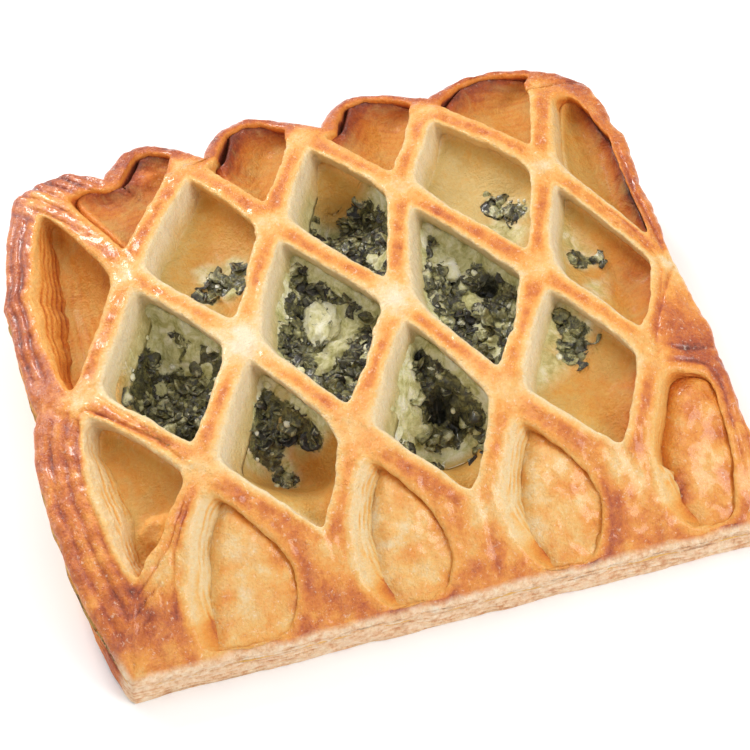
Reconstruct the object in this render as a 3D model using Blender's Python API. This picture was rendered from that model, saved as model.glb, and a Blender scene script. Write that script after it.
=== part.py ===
"""Spinach and cheese pastry: a puff pastry base, a crater of spinach and cheese,
and a slit pastry sheet pulled open into a lattice of diamonds over it.

Frame: +X along the front edge, +Y to the back, +Z up, the origin under the
middle of the pastry at the level of its flat underside.
"""
import math

import bmesh
import bpy

MM = 0.001
# Brings the middle of the pastry's outline onto the origin
FRAME_SHIFT = (0.1, 0.35)

# Overall form, in millimetres
FRONT_Y = -56.5
FRONT_TOP = 7.8
PEAK_TOP = 27.4
FRONT_CLIMB = 42.0
FRONT_BULGE = 2.2
# Falls of the dome to the other sides, as (where it begins, run, share of the height lost, power)
LEFT_FALL = (32.0, 31.0, 0.40, 1.6)
RIGHT_FALL = (38.0, 29.0, 0.38, 1.6)
BACK_FALL = (19.0, 35.0, 0.36, 1.8)
FALL_LIMIT = 1.2
LATTICE_THICK = 6.5
LATTICE_THICK_FRONT = 2.4
LATTICE_THICKENS_OVER = 20.0
SEAM_GAP = 0.65
FLOOR_TOP = 7.0

# Lattice: each row of crossings as (back, sideways slip, spacing), front row first
ROWS = ((-46.0, 10.3, 28.7), (-27.0, 6.5, 28.6), (-3.0, 5.6, 28.4), (22.5, 3.4, 28.0), (45.5, 1.4, 25.7))
# Crossings that were dragged aside when the sheet was laid, as (x, y)
NUDGES = {
    (0, 0): (0.5, 5.0), (1, 0): (1.0, 0.0), (3, 0): (0.5, 1.5), (3.5, 1): (0.5, 2.5),
    (0, 2): (-2.0, -2.0), (2, 2): (2.0, 1.0), (3, 2): (1.0, 0.5), (4, 2): (-1.5, -1.0),
    (0.5, 3): (-1.0, -4.0), (2.5, 3): (-2.0, 1.5), (3.5, 3): (-1.0, 0.0),
    (0, 4): (-1.0, -1.0), (1, 4): (1.5, -1.0), (4, 4): (-1.0, 0.5),
}
# Points on the edge of the pastry that the outline is hung between
EDGE = {
    "F0": (-56.8, FRONT_Y), "F1": (-19.0, FRONT_Y), "F2": (10.0, FRONT_Y), "F3": (38.5, FRONT_Y),
    "F4": (64.0, FRONT_Y), "R1": (63.6, -27.0), "R2": (62.8, -3.0), "K4": (61.5, 46.0), "K3": (29.0, 49.0),
    "K2": (6.0, 47.0), "K1": (-18.7, 45.5), "KP": (-39.0, 45.5), "K0": (-56.5, 47.5),
    "L2": (-61.8, -3.5),
}
# Sides of the outline, counter-clockwise, as (from, to, swell, where along it the swell peaks)
OUTLINE = (
    ("F0", "F1", 0.0, 0.5), ("F1", "F2", 0.0, 0.5), ("F2", "F3", 0.0, 0.5), ("F3", "F4", 0.0, 0.5),
    ("F4", "R1", 0.5, 0.5), ("R1", "R2", 0.5, 0.5), ("R2", "K4", 1.8, 0.6), ("K4", "K3", 6.5, 0.55),
    ("K3", "K2", 8.0, 0.58), ("K2", "K1", 9.5, 0.58), ("K1", "KP", 8.5, 0.55), ("KP", "K0", 4.0, 0.5),
    ("K0", "L2", 3.7, 0.5), ("L2", "F0", 4.6, 0.44),
)
# The same for the foot of the base, where it differs
FOOT_OUTLINE = {("L2", "F0"): (3.0, 0.76)}
FOOT_SWELL = 0.3
FOOT_BACK_Y = 49.5
STRUT_STEP = 5.2
OUTLINE_STEP = 4.6
STRUT_HALF = 2.3
CROSSING_FLARE = 0.9
CORNER_SOFTNESS = 1.0
RIM_ROUND = 0.9
WALL_LEAN = 1.6
# Rings down the walls of an opening, as shares of the lattice's thickness
WALL_DEPTHS = (0.16, 0.55, 1.0)
# Rings down the outline's wall, as (share of the thickness, how far in)
RIM_LAYERS = ((0.16, 0.0), (0.48, 0.6), (0.62, 0.1))

# Half widths of the bands along the edge of the pastry
FRONT_LIP = 2.6
BACK_RIM = 4.4
BACK_STRUT = 2.0
RIGHT_RIM = 3.2
LEFT_BAND = 9.4
LEFT_FOOT = 16.0

# Layers of the base's wall, as (share of its height, how far in)
BASE_LAYERS = (
    (0.0, 0.7), (0.08, 0.0), (0.32, 0.1), (0.42, 0.6), (0.52, 0.0), (0.74, 0.1), (0.84, 0.6), (0.93, 0.0),
)
# Where the base's wall swings out from its foot to the seam, as shares of its height
BASE_FLARE = (0.25, 0.95)

# Filling: an oval heap in the crater
HEAP_CENTRE = (2.0, 0.0)
HEAP_HALF = (50.0, 32.0)
HEAP_TOP = 17.0
FLOOR_RADIUS = 0.79
BRINK_RADIUS = 1.2
HEAP_GAP = 0.7
HEAP_RAGGED = 0.035
LUMP_COUNT = 70
LUMP_RADIUS = 5.2
LUMP_HEIGHT = 2.3
HEAP_STEPS = 54
HEAP_RINGS = 15
HEAP_EDGE = 1.6
HEAP_SLOPE = 0.5
SINK_STARTS = 1.22
SINK_RUN = 0.42
GOLDEN_ANGLE = math.pi * (3.0 - math.sqrt(5.0))

# Cheese lumps as (x, y, level, half length, half width, half height, turn in degrees)
CHEESE = (
    (23.0, 10.5, 17.2, 5.8, 3.6, 1.9, 8.0),
    (-1.5, -21.0, 16.6, 3.5, 7.0, 1.8, 8.0),
    (-5.5, 4.0, 17.2, 3.4, 5.6, 1.8, -25.0),
    (30.0, -14.0, 16.0, 3.2, 5.4, 1.7, 15.0),
)
CHEESE_GAP = 0.5
CHEESE_SOCKET = 1.2


def crossing(column, row):
    """Plan position of one crossing of the lattice."""
    back, slip, spacing = ROWS[row]
    dx, dy = NUDGES.get((column, row), (0.0, 0.0))
    return (slip + (column - 2) * spacing + dx, back + dy)


def smooth(t):
    t = max(0.0, min(1.0, t))
    return t * t * (3.0 - 2.0 * t)


def fall(distance, form):
    """Share of the dome's height lost this far out from the middle."""
    start, run, depth, power = form
    return depth * max(0.0, min(FALL_LIMIT, (distance - start) / run)) ** power


def lattice_top(x, y):
    """Height of the lattice's upper face: steep at the front, domed to the other sides."""
    climb = max(0.0, min(1.0, (y - FRONT_Y) / FRONT_CLIMB))
    rise = 1.0 - (1.0 - climb) ** FRONT_BULGE
    lost = math.hypot(fall(-x, LEFT_FALL) + fall(x, RIGHT_FALL), fall(y, BACK_FALL))
    return FRONT_TOP + (PEAK_TOP - FRONT_TOP) * rise * (1.0 - lost)


def lattice_thickness(y):
    grown = smooth((y - FRONT_Y) / LATTICE_THICKENS_OVER)
    return LATTICE_THICK_FRONT + (LATTICE_THICK - LATTICE_THICK_FRONT) * grown


def lattice_under(x, y):
    return lattice_top(x, y) - lattice_thickness(y)


def heap_radius(x, y):
    """0 in the middle of the filling, 1 at its edge."""
    return math.hypot((x - HEAP_CENTRE[0]) / HEAP_HALF[0], (y - HEAP_CENTRE[1]) / HEAP_HALF[1])


def base_top(x, y):
    """The base follows the lattice's underside and drops to a flat floor under the filling."""
    under = lattice_under(x, y) - SEAM_GAP
    sink = smooth((SINK_STARTS - heap_radius(x, y)) / SINK_RUN)
    return under + (FLOOR_TOP - under) * sink


def side_point(a, b, t, swell, peak):
    """Point on a swollen side; a positive swell pushes it out of the pastry."""
    dx, dy = b[0] - a[0], b[1] - a[1]
    length = math.hypot(dx, dy)
    bow = swell * math.sin(math.pi * t ** (math.log(0.5) / math.log(peak))) ** 0.8
    return (a[0] + dx * t + dy / length * bow, a[1] + dy * t - dx / length * bow)


def place(name):
    return EDGE[name] if isinstance(name, str) else crossing(*name)


def outline_side(start, end):
    for a, b, swell, peak in OUTLINE:
        if (a, b) == (start, end):
            return swell, peak
    return None


def side_chain(start, end):
    """Keys and plan points from one anchor up to, but not with, the next one."""
    swollen = outline_side(start, end)
    flipped = swollen is None and str(start) > str(end)
    a, b = (end, start) if flipped else (start, end)
    step = OUTLINE_STEP if swollen else STRUT_STEP
    swell, peak = swollen or (0.0, 0.5)
    steps = max(2, round(math.dist(place(a), place(b)) / step))
    chain = [(("anchor", start), place(start))]
    for n in range(1, steps):
        k = steps - n if flipped else n
        point = side_point(place(a), place(b), k / steps, swell, peak)
        chain.append((("side", a, b, k), point))
    return chain


def cell_list():
    """Each cell of the lattice: its anchors counter-clockwise and the half widths of its sides.

    A half width is one number, or one for each end of the side. A cell with no widths is closed.
    """
    cells = []
    strut = STRUT_HALF
    for n in range(4):
        anchors = ((n + 0.5, 1), (n + 1, 2), (n + 0.5, 3), (n, 2))
        cells.append((anchors, (strut,) * 4))
    for n in (1, 2, 3):
        cells.append((((n, 0), (n + 0.5, 1), (n, 2), (n - 0.5, 1)), (strut,) * 4))
        cells.append((((n, 2), (n + 0.5, 3), (n, 4), (n - 0.5, 3)), (strut,) * 4))
    for n, outer in ((0, 11.0), (1, 7.5), (2, 7.0)):
        anchors = (f"F{n}", f"F{n + 1}", (n + 1, 0), (n + 0.5, 1), (n, 0))
        cells.append((anchors, (FRONT_LIP, (7.5, 6.0), (5.0, strut), (strut, 4.5), (6.0, outer))))
    anchors = ("F3", "F4", "R1", (3.5, 1), (3, 0))
    cells.append((anchors, (FRONT_LIP, 3.6, 3.6, (strut, 4.0), (5.5, 6.5))))
    for n, left, right in ((1, "K1", "K2"), (2, "K2", "K3"), (3, "K3", "K4")):
        anchors = ((n + 0.5, 3), (n + 1, 4), right, left, (n, 4))
        cells.append((anchors, (strut, BACK_STRUT, BACK_RIM, BACK_STRUT, strut)))
    anchors = ((0.5, 3), (1, 4), "K1", "KP", (0, 4))
    cells.append((anchors, (strut, BACK_STRUT, 3.6, 2.5, strut)))
    anchors = ((0, 2), (0.5, 3), (0, 4), "K0", "L2")
    cells.append((anchors, (strut, strut, 2.5, 8.2, 2.2)))
    anchors = ("L2", "F0", (0, 0), (0.5, 1), (0, 2))
    cells.append((anchors, (LEFT_BAND, (LEFT_FOOT, 4.4), strut, strut, 2.2)))
    anchors = ((4, 2), "R2", "K4", (4, 4), (3.5, 3))
    cells.append((anchors, (2.0, RIGHT_RIM, 3.0, strut, strut)))
    cells.append((("KP", "K0", (0, 4)), None))
    cells.append((((3.5, 1), "R1", "R2", (4, 2)), None))
    return cells


def segment_distance(p, a, b):
    """Distance from p to the segment ab, and how far along it the nearest point lies."""
    dx, dy = b[0] - a[0], b[1] - a[1]
    t = ((p[0] - a[0]) * dx + (p[1] - a[1]) * dy) / (dx * dx + dy * dy)
    t = max(0.0, min(1.0, t))
    return math.hypot(p[0] - a[0] - dx * t, p[1] - a[1] - dy * t), t


def opening_depth(p, sides):
    """How far inside a cell's opening p lies: positive in the opening, negative in the pastry."""
    total = 0.0
    for points, width in sides:
        first, last = width if isinstance(width, tuple) else (width, width)
        spans = len(points) - 1
        nearest = None
        for n in range(spans):
            distance, t = segment_distance(p, points[n], points[n + 1])
            if nearest is None or distance < nearest[0]:
                nearest = (distance, (n + t) / spans)
        distance, along = nearest
        flare = CROSSING_FLARE * abs(2.0 * along - 1.0) ** 3
        half = first + (last - first) * along + flare
        total += math.exp(-CORNER_SOFTNESS * (distance - half))
    return -math.log(total) / CORNER_SOFTNESS


def opening_centre(sides):
    """The deepest point of an opening, found by stepping uphill."""
    corners = [points[0] for points, width in sides]
    x = sum(p[0] for p in corners) / len(corners)
    y = sum(p[1] for p in corners) / len(corners)
    step = 4.0
    while step > 0.1:
        around = [(x + step * dx, y + step * dy) for dx in (-1, 0, 1) for dy in (-1, 0, 1)]
        best = max(around, key=lambda p: opening_depth(p, sides))
        if best == (x, y):
            step *= 0.5
        x, y = best
    return (x, y)


def opening_edge(centre, rim, sides):
    """Where the ray from the centre to a rim point leaves the opening."""
    low, high = 0.0, 1.0
    for _ in range(24):
        t = 0.5 * (low + high)
        p = (centre[0] + (rim[0] - centre[0]) * t, centre[1] + (rim[1] - centre[1]) * t)
        if opening_depth(p, sides) > 0.0:
            low = t
        else:
            high = t
    return (centre[0] + (rim[0] - centre[0]) * low, centre[1] + (rim[1] - centre[1]) * low)


def toward(a, b, distance):
    """A point the given distance from a on the way to b."""
    length = max(math.dist(a, b), 1e-6)
    t = distance / length
    return (a[0] + (b[0] - a[0]) * t, a[1] + (b[1] - a[1]) * t)


def between(a, b, t):
    return (a[0] + (b[0] - a[0]) * t, a[1] + (b[1] - a[1]) * t)


def outline_loop():
    """The whole outline, counter-clockwise, as keys and plan points."""
    loop = []
    for a, b, swell, peak in OUTLINE:
        loop.extend(side_chain(a, b))
    return loop


def outward(points, n):
    """Unit normal of a counter-clockwise loop, pointing out of it."""
    ax, ay = points[n - 1]
    bx, by = points[(n + 1) % len(points)]
    length = math.hypot(bx - ax, by - ay)
    return ((by - ay) / length, (ax - bx) / length)


def finish(name, mesh_builder, collection, material):
    """Turn a finished bmesh, in millimetres, into a named object in metres."""
    bmesh.ops.recalc_face_normals(mesh_builder, faces=mesh_builder.faces)
    for vertex in mesh_builder.verts:
        x, y, z = vertex.co
        vertex.co = ((x + FRAME_SHIFT[0]) * MM, (y + FRAME_SHIFT[1]) * MM, z * MM)
    mesh = bpy.data.meshes.new(name)
    mesh_builder.to_mesh(mesh)
    mesh_builder.free()
    mesh.materials.append(material)
    solid = bpy.data.objects.new(name, mesh)
    collection.objects.link(solid)
    return solid


def bridge(bm, lower, upper, closed=True):
    """Quads between two rings of vertices of the same count."""
    count = len(lower)
    for n in range(count if closed else count - 1):
        m = (n + 1) % count
        bm.faces.new((lower[n], lower[m], upper[m], upper[n]))


def build_lattice(collection, material):
    """The slit sheet: a ring of pastry around each opening, every ring sharing its rim."""
    bm = bmesh.new()
    outline = outline_loop()
    outline_points = [point for key, point in outline]
    outline_place = {key: n for n, (key, point) in enumerate(outline)}
    tops, bottoms = {}, {}

    def top_vertex(key, point):
        if key not in tops:
            x, y = point
            if key in outline_place:
                nx, ny = outward(outline_points, outline_place[key])
                x, y = x - nx * RIM_ROUND, y - ny * RIM_ROUND
            tops[key] = bm.verts.new((x, y, lattice_top(x, y)))
        return tops[key]

    def bottom_vertex(key, point):
        if key not in bottoms:
            bottoms[key] = bm.verts.new((point[0], point[1], lattice_under(*point)))
        return bottoms[key]

    for anchors, widths in cell_list():
        sides, rim = [], []
        for n, start in enumerate(anchors):
            end = anchors[(n + 1) % len(anchors)]
            chain = side_chain(start, end)
            rim.extend(chain)
            points = [point for key, point in chain] + [place(end)]
            if widths:
                sides.append((points, widths[n]))
        top_ring = [top_vertex(key, point) for key, point in rim]
        bottom_ring = [bottom_vertex(key, point) for key, point in rim]
        if not widths:
            middle = [sum(point[n] for key, point in rim) / len(rim) for n in (0, 1)]
            cap = bm.verts.new((middle[0], middle[1], lattice_top(*middle)))
            sole = bm.verts.new((middle[0], middle[1], lattice_under(*middle)))
            for n in range(len(rim)):
                m = (n + 1) % len(rim)
                bm.faces.new((top_ring[n], top_ring[m], cap))
                bm.faces.new((bottom_ring[m], bottom_ring[n], sole))
            continue
        centre = opening_centre(sides)
        edge = [opening_edge(centre, point, sides) for key, point in rim]
        rings = [top_ring]
        shelf, lip = [], []
        for n, (key, point) in enumerate(rim):
            x, y = between(point, edge[n], 0.5)
            shelf.append(bm.verts.new((x, y, lattice_top(x, y))))
            x, y = toward(edge[n], point, RIM_ROUND)
            lip.append(bm.verts.new((x, y, lattice_top(x, y) - 0.15 * RIM_ROUND)))
        rings.extend((shelf, lip))
        for depth in WALL_DEPTHS:
            ring = []
            for x, y in edge:
                thick = lattice_thickness(y)
                x += WALL_LEAN * depth * thick / LATTICE_THICK
                ring.append(bm.verts.new((x, y, lattice_top(x, y) - depth * thick)))
            rings.append(ring)
        ledge = []
        for n, (key, point) in enumerate(rim):
            x, y = between(point, edge[n], 0.5)
            ledge.append(bm.verts.new((x, y, lattice_under(x, y))))
        rings.extend((ledge, bottom_ring))
        for outer, inner in zip(rings, rings[1:]):
            bridge(bm, outer, inner)
    rings = [[tops[key] for key, point in outline]]
    for depth, inset in RIM_LAYERS:
        ring = []
        for n, (x, y) in enumerate(outline_points):
            nx, ny = outward(outline_points, n)
            x, y = x - nx * inset, y - ny * inset
            z = lattice_top(x, y) - depth * lattice_thickness(y)
            ring.append(bm.verts.new((x, y, z)))
        rings.append(ring)
    rings.append([bottoms[key] for key, point in outline])
    for upper, lower in zip(rings, rings[1:]):
        bridge(bm, upper, lower)
    return finish("lattice_crust", bm, collection, material)


def foot_points():
    """Plan points of the base's foot, straighter than the lattice's outline above it."""
    points = []
    for a, b, swell, peak in OUTLINE:
        swell, peak = FOOT_OUTLINE.get((a, b), (swell * FOOT_SWELL, peak))
        ends = []
        for name in (a, b):
            x, y = EDGE[name]
            ends.append((x, max(y, FOOT_BACK_Y)) if name.startswith("K") else (x, y))
        steps = len(side_chain(a, b))
        points.extend(side_point(*ends, n / steps, swell, peak) for n in range(steps))
    return points


def build_base(collection, material):
    """The base: layered walls, a seam that meets the lattice, and a crater for the filling."""
    bm = bmesh.new()
    seam = [point for key, point in outline_loop()]
    foot = foot_points()
    seam_height = [lattice_under(x, y) - SEAM_GAP for x, y in seam]
    rings = []
    flare_starts, flare_ends = BASE_FLARE
    for level, inset in BASE_LAYERS:
        ring = []
        flare = smooth((level - flare_starts) / (flare_ends - flare_starts))
        plan = [between(foot[n], seam[n], flare) for n in range(len(seam))]
        for n, (x, y) in enumerate(plan):
            nx, ny = outward(plan, n)
            ring.append(bm.verts.new((x - nx * inset, y - ny * inset, level * seam_height[n])))
        rings.append(ring)
    spreads = [heap_radius(x, y) for x, y in seam]
    brinks = [min(BRINK_RADIUS, 0.96 * spread) for spread in spreads]
    slopes = [(spreads, brinks, t) for t in (0.12, 0.45, 1.0)]
    slopes += [(brinks, [FLOOR_RADIUS] * len(seam), t) for t in (0.22, 0.42, 0.6, 0.76, 0.89, 1.0)]
    for outer, inner, t in slopes:
        ring = []
        for n, point in enumerate(seam):
            radius = outer[n] + (inner[n] - outer[n]) * t
            x, y = between(HEAP_CENTRE, point, radius / spreads[n])
            ring.append(bm.verts.new((x, y, base_top(x, y))))
        rings.append(ring)
    for lower, upper in zip(rings, rings[1:]):
        bridge(bm, lower, upper)
    bm.faces.new(rings[0])
    bm.faces.new(rings[-1])
    return finish("base_crust", bm, collection, material)


def cheese_socket(x, y):
    """Lowest level any lump of cheese needs left free at this place."""
    level = 1000.0
    for cx, cy, cz, half_x, half_y, half_z, turn in CHEESE:
        angle = math.radians(turn)
        dx, dy = x - cx, y - cy
        along = (dx * math.cos(angle) + dy * math.sin(angle)) / half_x
        across = (dy * math.cos(angle) - dx * math.sin(angle)) / half_y
        radius = math.hypot(along, across) / CHEESE_SOCKET
        if radius < 1.5:
            sink = half_z * math.sqrt(max(0.0, 1.0 - min(1.0, radius) ** 2))
            level = min(level, cz - sink - CHEESE_GAP + 3.0 * max(0.0, radius - 1.0))
    return level


def heap_top(x, y):
    """The filling's lumpy upper face."""
    radius = min(1.0, heap_radius(x, y))
    edge = base_top(x, y) + HEAP_EDGE
    z = edge + (HEAP_TOP - edge) * smooth((1.0 - radius) / HEAP_SLOPE)
    lump = 0.0
    for n in range(LUMP_COUNT):
        angle = n * GOLDEN_ANGLE
        reach = math.sqrt((n + 0.5) / LUMP_COUNT)
        cx = HEAP_CENTRE[0] + HEAP_HALF[0] * reach * math.cos(angle)
        cy = HEAP_CENTRE[1] + HEAP_HALF[1] * reach * math.sin(angle)
        size = LUMP_RADIUS * (0.75 + 0.5 * ((n * 7) % 10) / 10.0)
        near = math.dist((x, y), (cx, cy)) / size
        if near < 1.0:
            lump = max(lump, (1.0 - near * near) * (0.5 + 0.5 * ((n * 3) % 7) / 6.0))
    z += LUMP_HEIGHT * (lump - 0.4)
    return min(z, cheese_socket(x, y))


def build_filling(collection, material):
    """The spinach and cheese heap: an oval dome of lumps on the crater's floor."""
    bm = bmesh.new()
    rings = []

    def heap_ring(radius, height):
        ring = []
        for n in range(HEAP_STEPS):
            angle = 2.0 * math.pi * n / HEAP_STEPS
            ragged = math.sin(5.0 * angle + 0.6) + 0.7 * math.sin(11.0 * angle + 2.0)
            reach = radius * (1.0 - HEAP_RAGGED * (1.0 + 0.6 * ragged) * radius ** 4)
            x = HEAP_CENTRE[0] + HEAP_HALF[0] * reach * math.cos(angle)
            y = HEAP_CENTRE[1] + HEAP_HALF[1] * reach * math.sin(angle)
            ring.append(bm.verts.new((x, y, height(x, y))))
        rings.append(ring)

    for radius in (0.76, 0.82, 0.88, 0.94, 0.99):
        heap_ring(radius, lambda x, y: base_top(x, y) + HEAP_GAP)
    for n in range(HEAP_RINGS):
        heap_ring(1.0 - 0.93 * n / (HEAP_RINGS - 1), heap_top)
    for lower, upper in zip(rings, rings[1:]):
        bridge(bm, lower, upper)
    bm.faces.new(rings[0])
    crown = bm.verts.new((*HEAP_CENTRE, heap_top(*HEAP_CENTRE)))
    for n in range(HEAP_STEPS):
        bm.faces.new((rings[-1][n], rings[-1][(n + 1) % HEAP_STEPS], crown))
    return finish("spinach_filling", bm, collection, material)


def build_cheese(collection, material):
    """Soft lumps of cheese half sunk in the filling."""
    for number, (cx, cy, cz, half_x, half_y, half_z, turn) in enumerate(CHEESE):
        bm = bmesh.new()
        bmesh.ops.create_uvsphere(bm, u_segments=12, v_segments=8, radius=1.0)
        angle = math.radians(turn)
        for vertex in bm.verts:
            x, y, z = vertex.co
            swell = 1.0 + 0.06 * math.sin(3.0 * math.atan2(y, x) + number) * (1.0 - z * z)
            x, y = x * half_x * swell, y * half_y * swell
            vertex.co = (
                cx + x * math.cos(angle) - y * math.sin(angle),
                cy + x * math.sin(angle) + y * math.cos(angle),
                cz + z * half_z,
            )
        finish(f"cheese_lump_{number + 1}", bm, collection, material)


def make_material(name, colour, roughness):
    material = bpy.data.materials.new(name)
    material.use_nodes = True
    shader = material.node_tree.nodes["Principled BSDF"]
    shader.inputs["Base Color"].default_value = (*colour, 1.0)
    shader.inputs["Roughness"].default_value = roughness
    shader.inputs["Metallic"].default_value = 0.0
    return material


def main():
    for old in list(bpy.data.objects):
        bpy.data.objects.remove(old, do_unlink=True)
    collection = bpy.data.collections.new("spinach_cheese_pastry")
    bpy.context.scene.collection.children.link(collection)
    build_base(collection, make_material("baked_base", (0.78, 0.49, 0.22), 0.5))
    build_lattice(collection, make_material("glazed_lattice", (0.83, 0.47, 0.16), 0.38))
    build_filling(collection, make_material("cooked_spinach", (0.10, 0.14, 0.07), 0.45))
    build_cheese(collection, make_material("soft_cheese", (0.80, 0.78, 0.50), 0.5))


main()
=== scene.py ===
import math
import bpy
import numpy as np
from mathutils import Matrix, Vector


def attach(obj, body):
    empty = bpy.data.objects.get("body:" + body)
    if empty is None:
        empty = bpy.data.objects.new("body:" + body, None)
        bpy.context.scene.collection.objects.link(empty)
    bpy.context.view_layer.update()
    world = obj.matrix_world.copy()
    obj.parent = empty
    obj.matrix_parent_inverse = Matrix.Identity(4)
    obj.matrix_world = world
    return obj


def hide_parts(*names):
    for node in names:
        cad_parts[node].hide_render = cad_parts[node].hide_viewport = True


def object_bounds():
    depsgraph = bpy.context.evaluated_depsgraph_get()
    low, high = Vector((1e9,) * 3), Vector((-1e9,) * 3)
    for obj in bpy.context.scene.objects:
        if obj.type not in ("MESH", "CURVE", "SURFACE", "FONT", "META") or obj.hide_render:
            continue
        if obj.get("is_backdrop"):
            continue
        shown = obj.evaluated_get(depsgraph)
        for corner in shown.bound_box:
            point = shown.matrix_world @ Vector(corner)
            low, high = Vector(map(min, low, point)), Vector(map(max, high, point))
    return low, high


# Spinach and cheese pastry: the solids' own shape again, at the scale of its flakes, glaze and leaves.
# Lengths are in millimetres until a mesh is made.
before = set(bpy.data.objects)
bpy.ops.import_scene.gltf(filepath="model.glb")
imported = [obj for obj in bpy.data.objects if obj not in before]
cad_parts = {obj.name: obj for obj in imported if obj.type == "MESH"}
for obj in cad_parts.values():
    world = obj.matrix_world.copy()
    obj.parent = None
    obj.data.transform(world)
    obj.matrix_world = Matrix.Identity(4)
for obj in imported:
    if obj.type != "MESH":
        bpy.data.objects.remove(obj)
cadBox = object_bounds()
mm = 0.001
frameShift = (0.1, 0.35)


def unitHash(ix, iy, iz, seed):
    # a repeatable random number from -1 to 1 for each grid cell
    h = (ix * 374761393 + iy * 668265263 + iz * 1274126177 + seed * 144665) & 0xFFFFFFFF
    h = ((h ^ (h >> 13)) * 1274126177) & 0xFFFFFFFF
    h = h ^ (h >> 16)
    return (h & 0xFFFF) / 32767.5 - 1.0


def grain(points, size, seed=0):
    # smooth noise from -1 to 1; size is its wavelength, one number or one for each axis
    p = points / np.asarray(size, float)
    cell = np.floor(p).astype(np.int64)
    f = p - cell
    f = f * f * f * (f * (f * 6 - 15) + 10)
    total = np.zeros(len(p))
    for corner in range(8):
        step = (corner & 1, corner >> 1 & 1, corner >> 2)
        weight = np.ones(len(p))
        for axis in range(3):
            weight = weight * (f[:, axis] if step[axis] else 1 - f[:, axis])
        total += weight * unitHash(*(cell[:, axis] + step[axis] for axis in range(3)), seed)
    return total


def layered(noise, size, seed, octaves, fade):
    # one noise at half its size again and again, each layer weaker
    size = np.asarray(size, float)
    parts = [noise(size / 2 ** n, seed + 31 * n) * fade ** n for n in range(octaves)]
    return sum(parts) / sum(fade ** n for n in range(octaves))


def grains(points, size, seed=0, octaves=3):
    return layered(lambda width, own: grain(points, width, own), size, seed, octaves, 0.5)


def creases(points, size, seed=0, octaves=3):
    # folded noise from -1 in the creases to 1 on the ridges
    folded = lambda width, own: 1.0 - 2.4 * np.abs(grain(points, width, own))
    return layered(folded, size, seed, octaves, 0.55)


def smooth(t):
    t = np.clip(t, 0.0, 1.0)
    return t * t * (3.0 - 2.0 * t)


def mix(a, b, t):
    return a + (b - a) * t


def xyz(x, y, z):
    return np.stack(np.broadcast_arrays(*(np.asarray(v, float) for v in (x, y, z))), axis=1)


def bell(x, y, cx, cy, spread):
    # 1 at a place, falling off round it; spread is the square of its radius
    return np.exp(-((x - cx) ** 2 + (y - cy) ** 2) / spread)


form = {
    "frontY": -56.5, "frontTop": 7.8, "peakTop": 27.4, "frontClimb": 42.0, "frontBulge": 2.2,
    # how the top falls away from the middle: from where, over how far, by what share, and how suddenly
    "leftFall": (32.0, 31.0, 0.40, 1.6), "rightFall": (38.0, 29.0, 0.38, 1.6),
    "backFall": (19.0, 35.0, 0.36, 1.8),
    "thick": 6.5, "thickFront": 2.4, "thickensOver": 20.0, "seamGap": 0.65, "floorTop": 7.0,
    "heapCentre": (2.0, 0.0), "heapHalf": (50.0, 32.0),
    "rimRound": 1.1, "crossingFlare": 0.9, "cornerSoftness": 1.7, "edgeWaver": (0.32, 0.16),
    "wallLean": 3.1, "leanFrom": 5.0, "leanDepth": 8.5, "bedLean": 0.7,
    "ragged": 0.55, "raggedSize": 7.0, "bumpSpread": 6.0,
}
# Rows of crossings from front to back: y, how far the row is slipped to the right, and its spacing
rows = ((-46.0, 10.3, 28.7), (-27.0, 6.5, 28.6), (-3.0, 5.6, 28.4), (22.5, 3.4, 28.0), (45.5, 1.4, 25.7))
# How far single crossings stand off their rows, by (column, row)
nudges = {
    (0, 0): (0.5, 5.0), (1, 0): (1.0, 0.0), (3, 0): (0.5, 1.5), (3.5, 1): (0.5, 2.5),
    (0, 2): (-2.0, -2.0), (2, 2): (2.0, 1.0), (3, 2): (1.0, 0.5), (4, 2): (-1.5, -1.0),
    (0.5, 3): (-1.0, -4.0), (2.5, 3): (-2.0, 1.5), (3.5, 3): (-1.0, 0.0),
    (0, 4): (-1.0, -1.0), (1, 4): (1.5, -1.0), (4, 4): (-1.0, 0.5),
}
# Where strips end on the outline: front, right, back and left
edgePoints = {
    "F0": (-56.8, -56.5), "F1": (-19.0, -56.5), "F2": (10.0, -56.5), "F3": (38.5, -56.5), "F4": (64.0, -56.5),
    "R1": (63.6, -27.0), "R2": (62.8, -3.0), "K4": (61.5, 46.0), "K3": (29.0, 49.0), "K2": (6.0, 47.0),
    "K1": (-18.7, 45.5), "KP": (-39.0, 45.5), "K0": (-56.5, 47.5), "L2": (-61.8, -3.5),
}
# Sides of the outline, as (from, to, how far it bows out, where along it the bow is widest)
outline = (
    ("F0", "F1", 0.0, 0.5), ("F1", "F2", 0.0, 0.5), ("F2", "F3", 0.0, 0.5), ("F3", "F4", 0.0, 0.5),
    ("F4", "R1", 0.5, 0.5), ("R1", "R2", 0.5, 0.5), ("R2", "K4", 1.8, 0.6), ("K4", "K3", 6.5, 0.55),
    ("K3", "K2", 8.0, 0.58), ("K2", "K1", 9.5, 0.58), ("K1", "KP", 8.5, 0.55), ("KP", "K0", 4.0, 0.5),
    ("K0", "L2", 3.7, 0.5), ("L2", "F0", 4.6, 0.44),
)
foot = {"sides": {("L2", "F0"): (3.0, 0.76)}, "swell": 0.3, "backY": 49.5}
# Torn bumps and nicks on the edge, as (x, y, how far out)
edgeBumps = ((62.0, 38.0, 1.2), (61.5, 33.5, -1.3), (62.6, 29.0, 1.5), (62.5, 16.0, -0.8), (63.5, -20.0, 0.7),
             (-62.0, -30.0, -0.6), (-63.0, 22.0, 0.8))


def crossing(column, row):
    back, slip, spacing = rows[row]
    dx, dy = nudges.get((column, row), (0.0, 0.0))
    return (slip + (column - 2) * spacing + dx, back + dy)


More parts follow.
